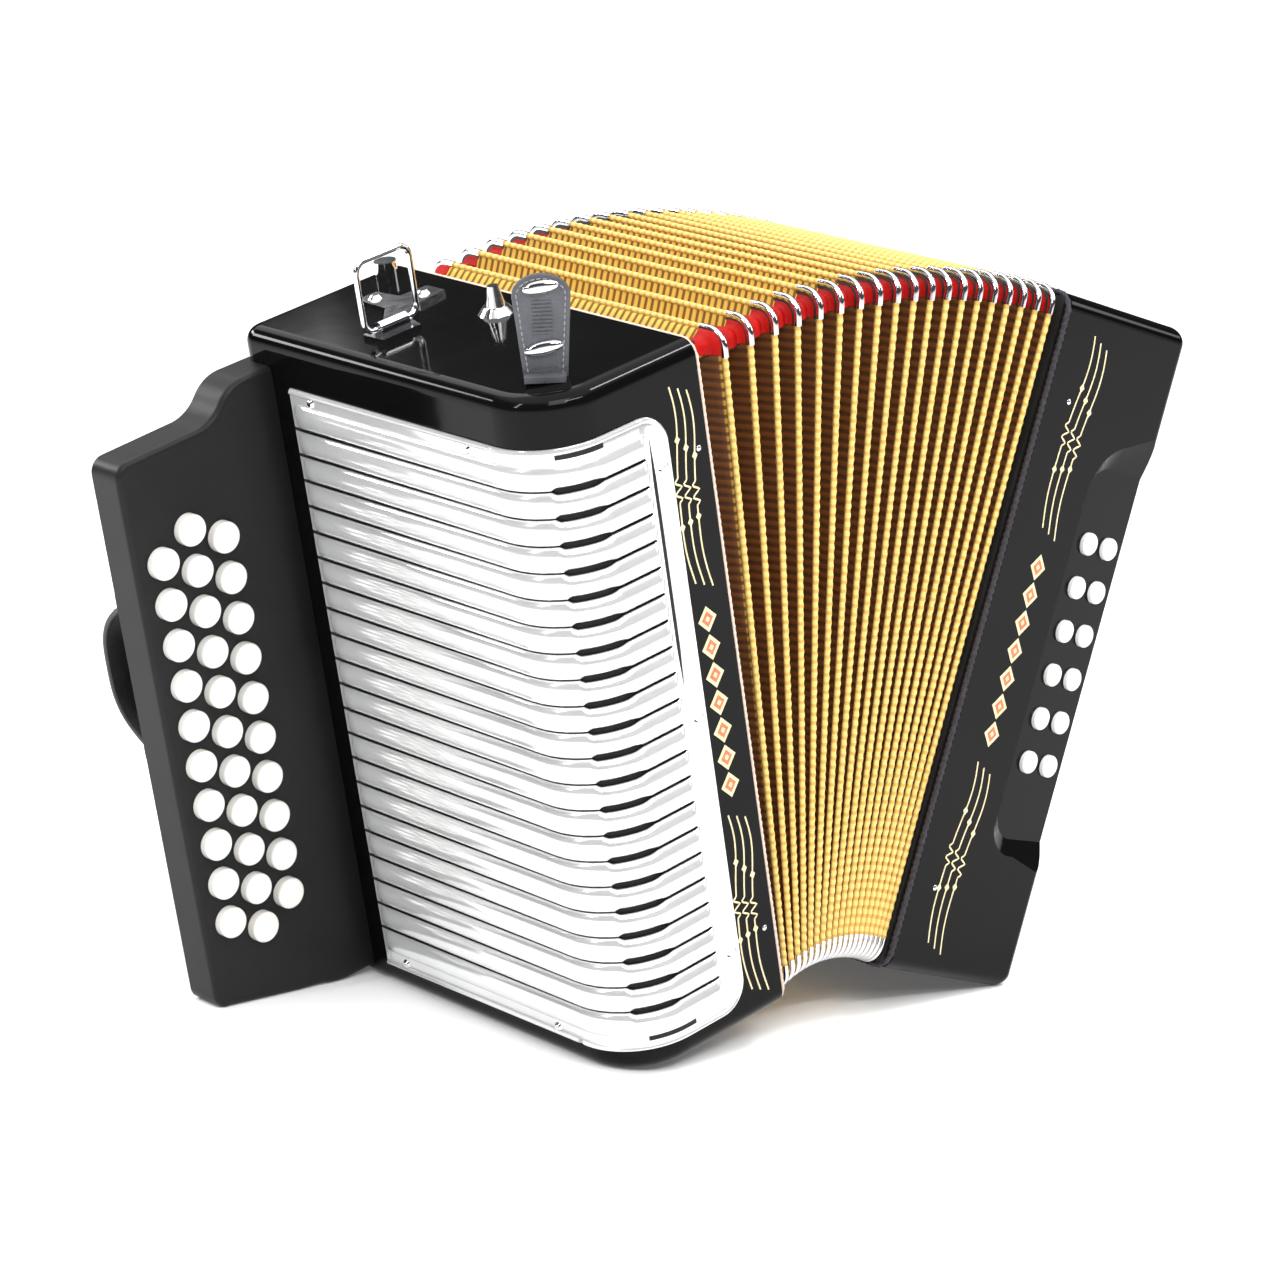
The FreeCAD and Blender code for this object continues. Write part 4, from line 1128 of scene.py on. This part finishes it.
def bass_fittings():
    """Rubber bumps on the bass end's outer face, and the strap lug on its top."""
    bumps = Build()
    for z in PLATE_HEIGHTS:
        bumps.dome(Vector((BASS_THICK, 14, z)), RIGHTWARD,
                   ((5.0, 0.0), (4.9, 1.6), (4.4, 3.1), (3.3, 3.9), (1.8, 4.0), (1.6, 3.2),
                    (0.2, 3.2)))
    bumps.piece("bass_bumps", BLACK_RUBBER, BASS_BODY)
    lug = Build()
    flat = rounded_rectangle(16, 9, 2)
    lug.grid([[Vector((41 + u * k, 100 + v * k, HEIGHT + lift)) for u, v in flat]
              for k, lift in ((1, 0), (1, 1.7), (0.94, 2.2))], wrap_columns=True, cap=True)
    ring = [Vector((41 + 6.5 * math.cos(a), 106 + 6.5 * math.sin(a), HEIGHT + 3.1))
            for a in steps(0, 2 * math.pi, 40)[:-1]]
    lug.tube(ring, 1.2, 10, closed=True, up=UPWARD)
    lug.piece("bass_lug", FITTING, BASS_BODY)


def rounded_rectangle(wide, tall, radius, corner_steps=5):
    """Outline centred on the origin, anticlockwise."""
    points = []
    for u_side, v_side, start in ((1, -1, -90), (1, 1, 0), (-1, 1, 90), (-1, -1, 180)):
        for turn in steps(start, start + 90, corner_steps):
            a = math.radians(turn)
            points.append((u_side * (wide / 2 - radius) + radius * math.cos(a),
                           v_side * (tall / 2 - radius) + radius * math.sin(a)))
    return points


# ---------------------------------------------------------------- painted ornament

def stave_x(t, line, spacing):
    """Sideways position of one ornament line at t from its top (0) to its foot (1)."""
    sway = 2.2 * math.sin(2 * math.pi * (t + 0.08)) + 0.5 * math.sin(4 * math.pi * t)
    kink = 0.0
    for number, place in enumerate((0.47, 0.50, 0.53, 0.56)):
        kink += (2.0 if number % 2 else -2.0) * max(0.0, 1 - abs(t - place) / 0.016)
    return (line - 1) * spacing + sway + kink


def diamond(shape, x, z, half_wide, half_tall, y=0.0, lift=0.16):
    flat = [Vector((x, y, z - half_tall)), Vector((x + half_wide, y, z)),
            Vector((x, y, z + half_tall)), Vector((x - half_wide, y, z))]
    shape.slab(flat, Vector((0, -lift, 0)))


def staves(shape, x, top, bottom, spacing):
    """Three thin swaying lines with small diamonds on them, just proud of the lacquer."""
    across = BACKWARD
    for line in range(3):
        drop = 2.2 * (line - 1)
        ends = [Vector((x + stave_x(t, line, spacing), -0.04, top + (bottom - top) * t - drop))
                for t in steps(0, 1, 120)]
        shape.tube(ends, 0.42, 6, squeeze=0.35, up=across)
        for t in (0.27 + 0.03 * line, 0.70 - 0.035 * line):
            middle = Vector((x + stave_x(t, line, spacing), 0, top + (bottom - top) * t - drop))
            diamond(shape, middle.x, middle.z, 1.5, 2.1)


def lozenges(outline, fill, x, top, bottom, count, half_wide):
    """Column of outlined diamonds with a coloured middle."""
    pitch = (top - bottom) / count
    for k in range(count):
        z = top - pitch * (k + 0.5)
        diamond(outline, x, z, half_wide, pitch * 0.46, lift=0.12)
        diamond(fill, x, z, half_wide * 0.62, pitch * 0.46 * 0.62, lift=0.2)
        diamond(outline, x, z, half_wide * 0.24, pitch * 0.46 * 0.24, lift=0.28)


def ornaments():
    ends = (("treble", TREBLE_BODY, -13.2, 4.6, 5.2, -5.2),
            ("bass", BASS_BODY, 24.0, 5.0, 5.0, 14.5))
    for name, body, x, spacing, wide, pin_x in ends:
        lines = Build()
        centres = Build()
        staves(lines, x, 293, 205, spacing)
        staves(lines, x, 97, 13, spacing)
        lozenges(lines, centres, x, 196, 106, 7, wide)
        lines.piece(f"{name}_gold_lines", GOLD_PAINT, body, smooth=0)
        pins = Build()
        for z in (264, 40):
            pins.dome(Vector((pin_x, 0.0, z)), -BACKWARD,
                      ((1.3, -0.2), (1.3, 0.25), (0.95, 0.6), (0.2, 0.75)), sides=14)
        pins.piece(f"{name}_bellows_pins", FITTING, body)
        centres.piece(f"{name}_red_centres", RED_PAINT, body, smooth=0)


# ---------------------------------------------------------------- floor, light and camera

def studio():
    floor_half = 30.0
    floor_mesh = bpy.data.meshes.new("floor")
    floor_mesh.from_pydata([(-floor_half, -floor_half, 0), (floor_half, -floor_half, 0),
                            (floor_half, floor_half, 0), (-floor_half, floor_half, 0)],
                           [], [(0, 1, 2, 3)])
    floor = bpy.data.objects.new("floor", floor_mesh)
    bpy.context.scene.collection.objects.link(floor)
    shader = Shader("floor_white", Base_Color=(0.90, 0.90, 0.90, 1), Roughness=0.9,
                    Emission_Color=(1, 1, 1, 1), Emission_Strength=0.10)
    floor_mesh.materials.append(shader.material)

    world = bpy.data.worlds.new("studio")
    world.use_nodes = True
    tree = world.node_tree
    background = tree.nodes["Background"]
    background.inputs["Strength"].default_value = 1.8
    direction = tree.nodes.new("ShaderNodeTexCoord")
    height = tree.nodes.new("ShaderNodeSeparateXYZ")
    tree.links.new(direction.outputs["Generated"], height.inputs["Vector"])
    sky = tree.nodes.new("ShaderNodeValToRGB")
    sky.color_ramp.elements[0].position = 0.60
    sky.color_ramp.elements[0].color = (0.035, 0.035, 0.037, 1)
    sky.color_ramp.elements[1].position = 0.80
    sky.color_ramp.elements[1].color = (1.0, 1.0, 1.0, 1)
    tree.links.new(height.outputs["Z"], sky.inputs["Fac"])
    tree.links.new(sky.outputs["Color"], background.inputs["Color"])
    bpy.context.scene.world = world

    lights = (
        ("key", (-1.1, -1.7, 2.0), 1.2, 1.2, 30),
        ("fill", (1.9, -1.0, 1.3), 1.0, 1.0, 14),
        ("back", (0.3, 1.7, 2.0), 1.4, 1.4, 12),
        ("rim", (-0.9, 2.0, 1.2), 1.3, 0.35, 34),
        ("top_strip", (0.8, -0.7, 1.9), 0.6, 0.14, 14),
        ("strip", (-0.2, -1.5, 1.5), 0.9, 0.06, 10),
        ("side_strip", (-1.8, 0.1, 1.2), 0.06, 0.9, 9),
    )
    for name, place, width, height, power in lights:
        light = bpy.data.lights.new(name, "AREA")
        light.shape = "RECTANGLE"
        light.size = width
        light.size_y = height
        light.energy = power
        lamp = bpy.data.objects.new(name, light)
        lamp.location = place
        aim = Vector((0.0, 0.0, 0.15)) - Vector(place)
        lamp.rotation_euler = aim.to_track_quat("-Z", "Y").to_euler()
        bpy.context.scene.collection.objects.link(lamp)


def camera():
    """Three-quarter view from the front of the treble end, with the head tipped a little."""
    place = Vector((-1.4027, -1.5007, 0.6875))
    azimuth = math.radians(-43.05)
    elevation = math.radians(14.43)
    roll = math.radians(2.87)
    forward = Vector((-math.sin(azimuth) * math.cos(elevation),
                      math.cos(azimuth) * math.cos(elevation), -math.sin(elevation)))
    level = forward.cross(UPWARD).normalized()
    upright = level.cross(forward)
    right = level * math.cos(roll) + upright * math.sin(roll)
    up = right.cross(forward)
    turn = Matrix((right, up, -forward)).transposed().to_4x4()
    lens = bpy.data.cameras.new("camera")
    lens.sensor_width = 36
    lens.lens = 134.5
    lens.clip_end = 100
    view = bpy.data.objects.new("camera", lens)
    view.matrix_world = Matrix.Translation(place) @ turn
    bpy.context.scene.collection.objects.link(view)
    bpy.context.scene.camera = view


bpy.context.scene.view_settings.view_transform = "Standard"
camera()
studio()
finish_cad_nodes()
grille()
bellows()
thumb_strap()
bellows_strap()
hand_strap()
bass_fittings()
ornaments()
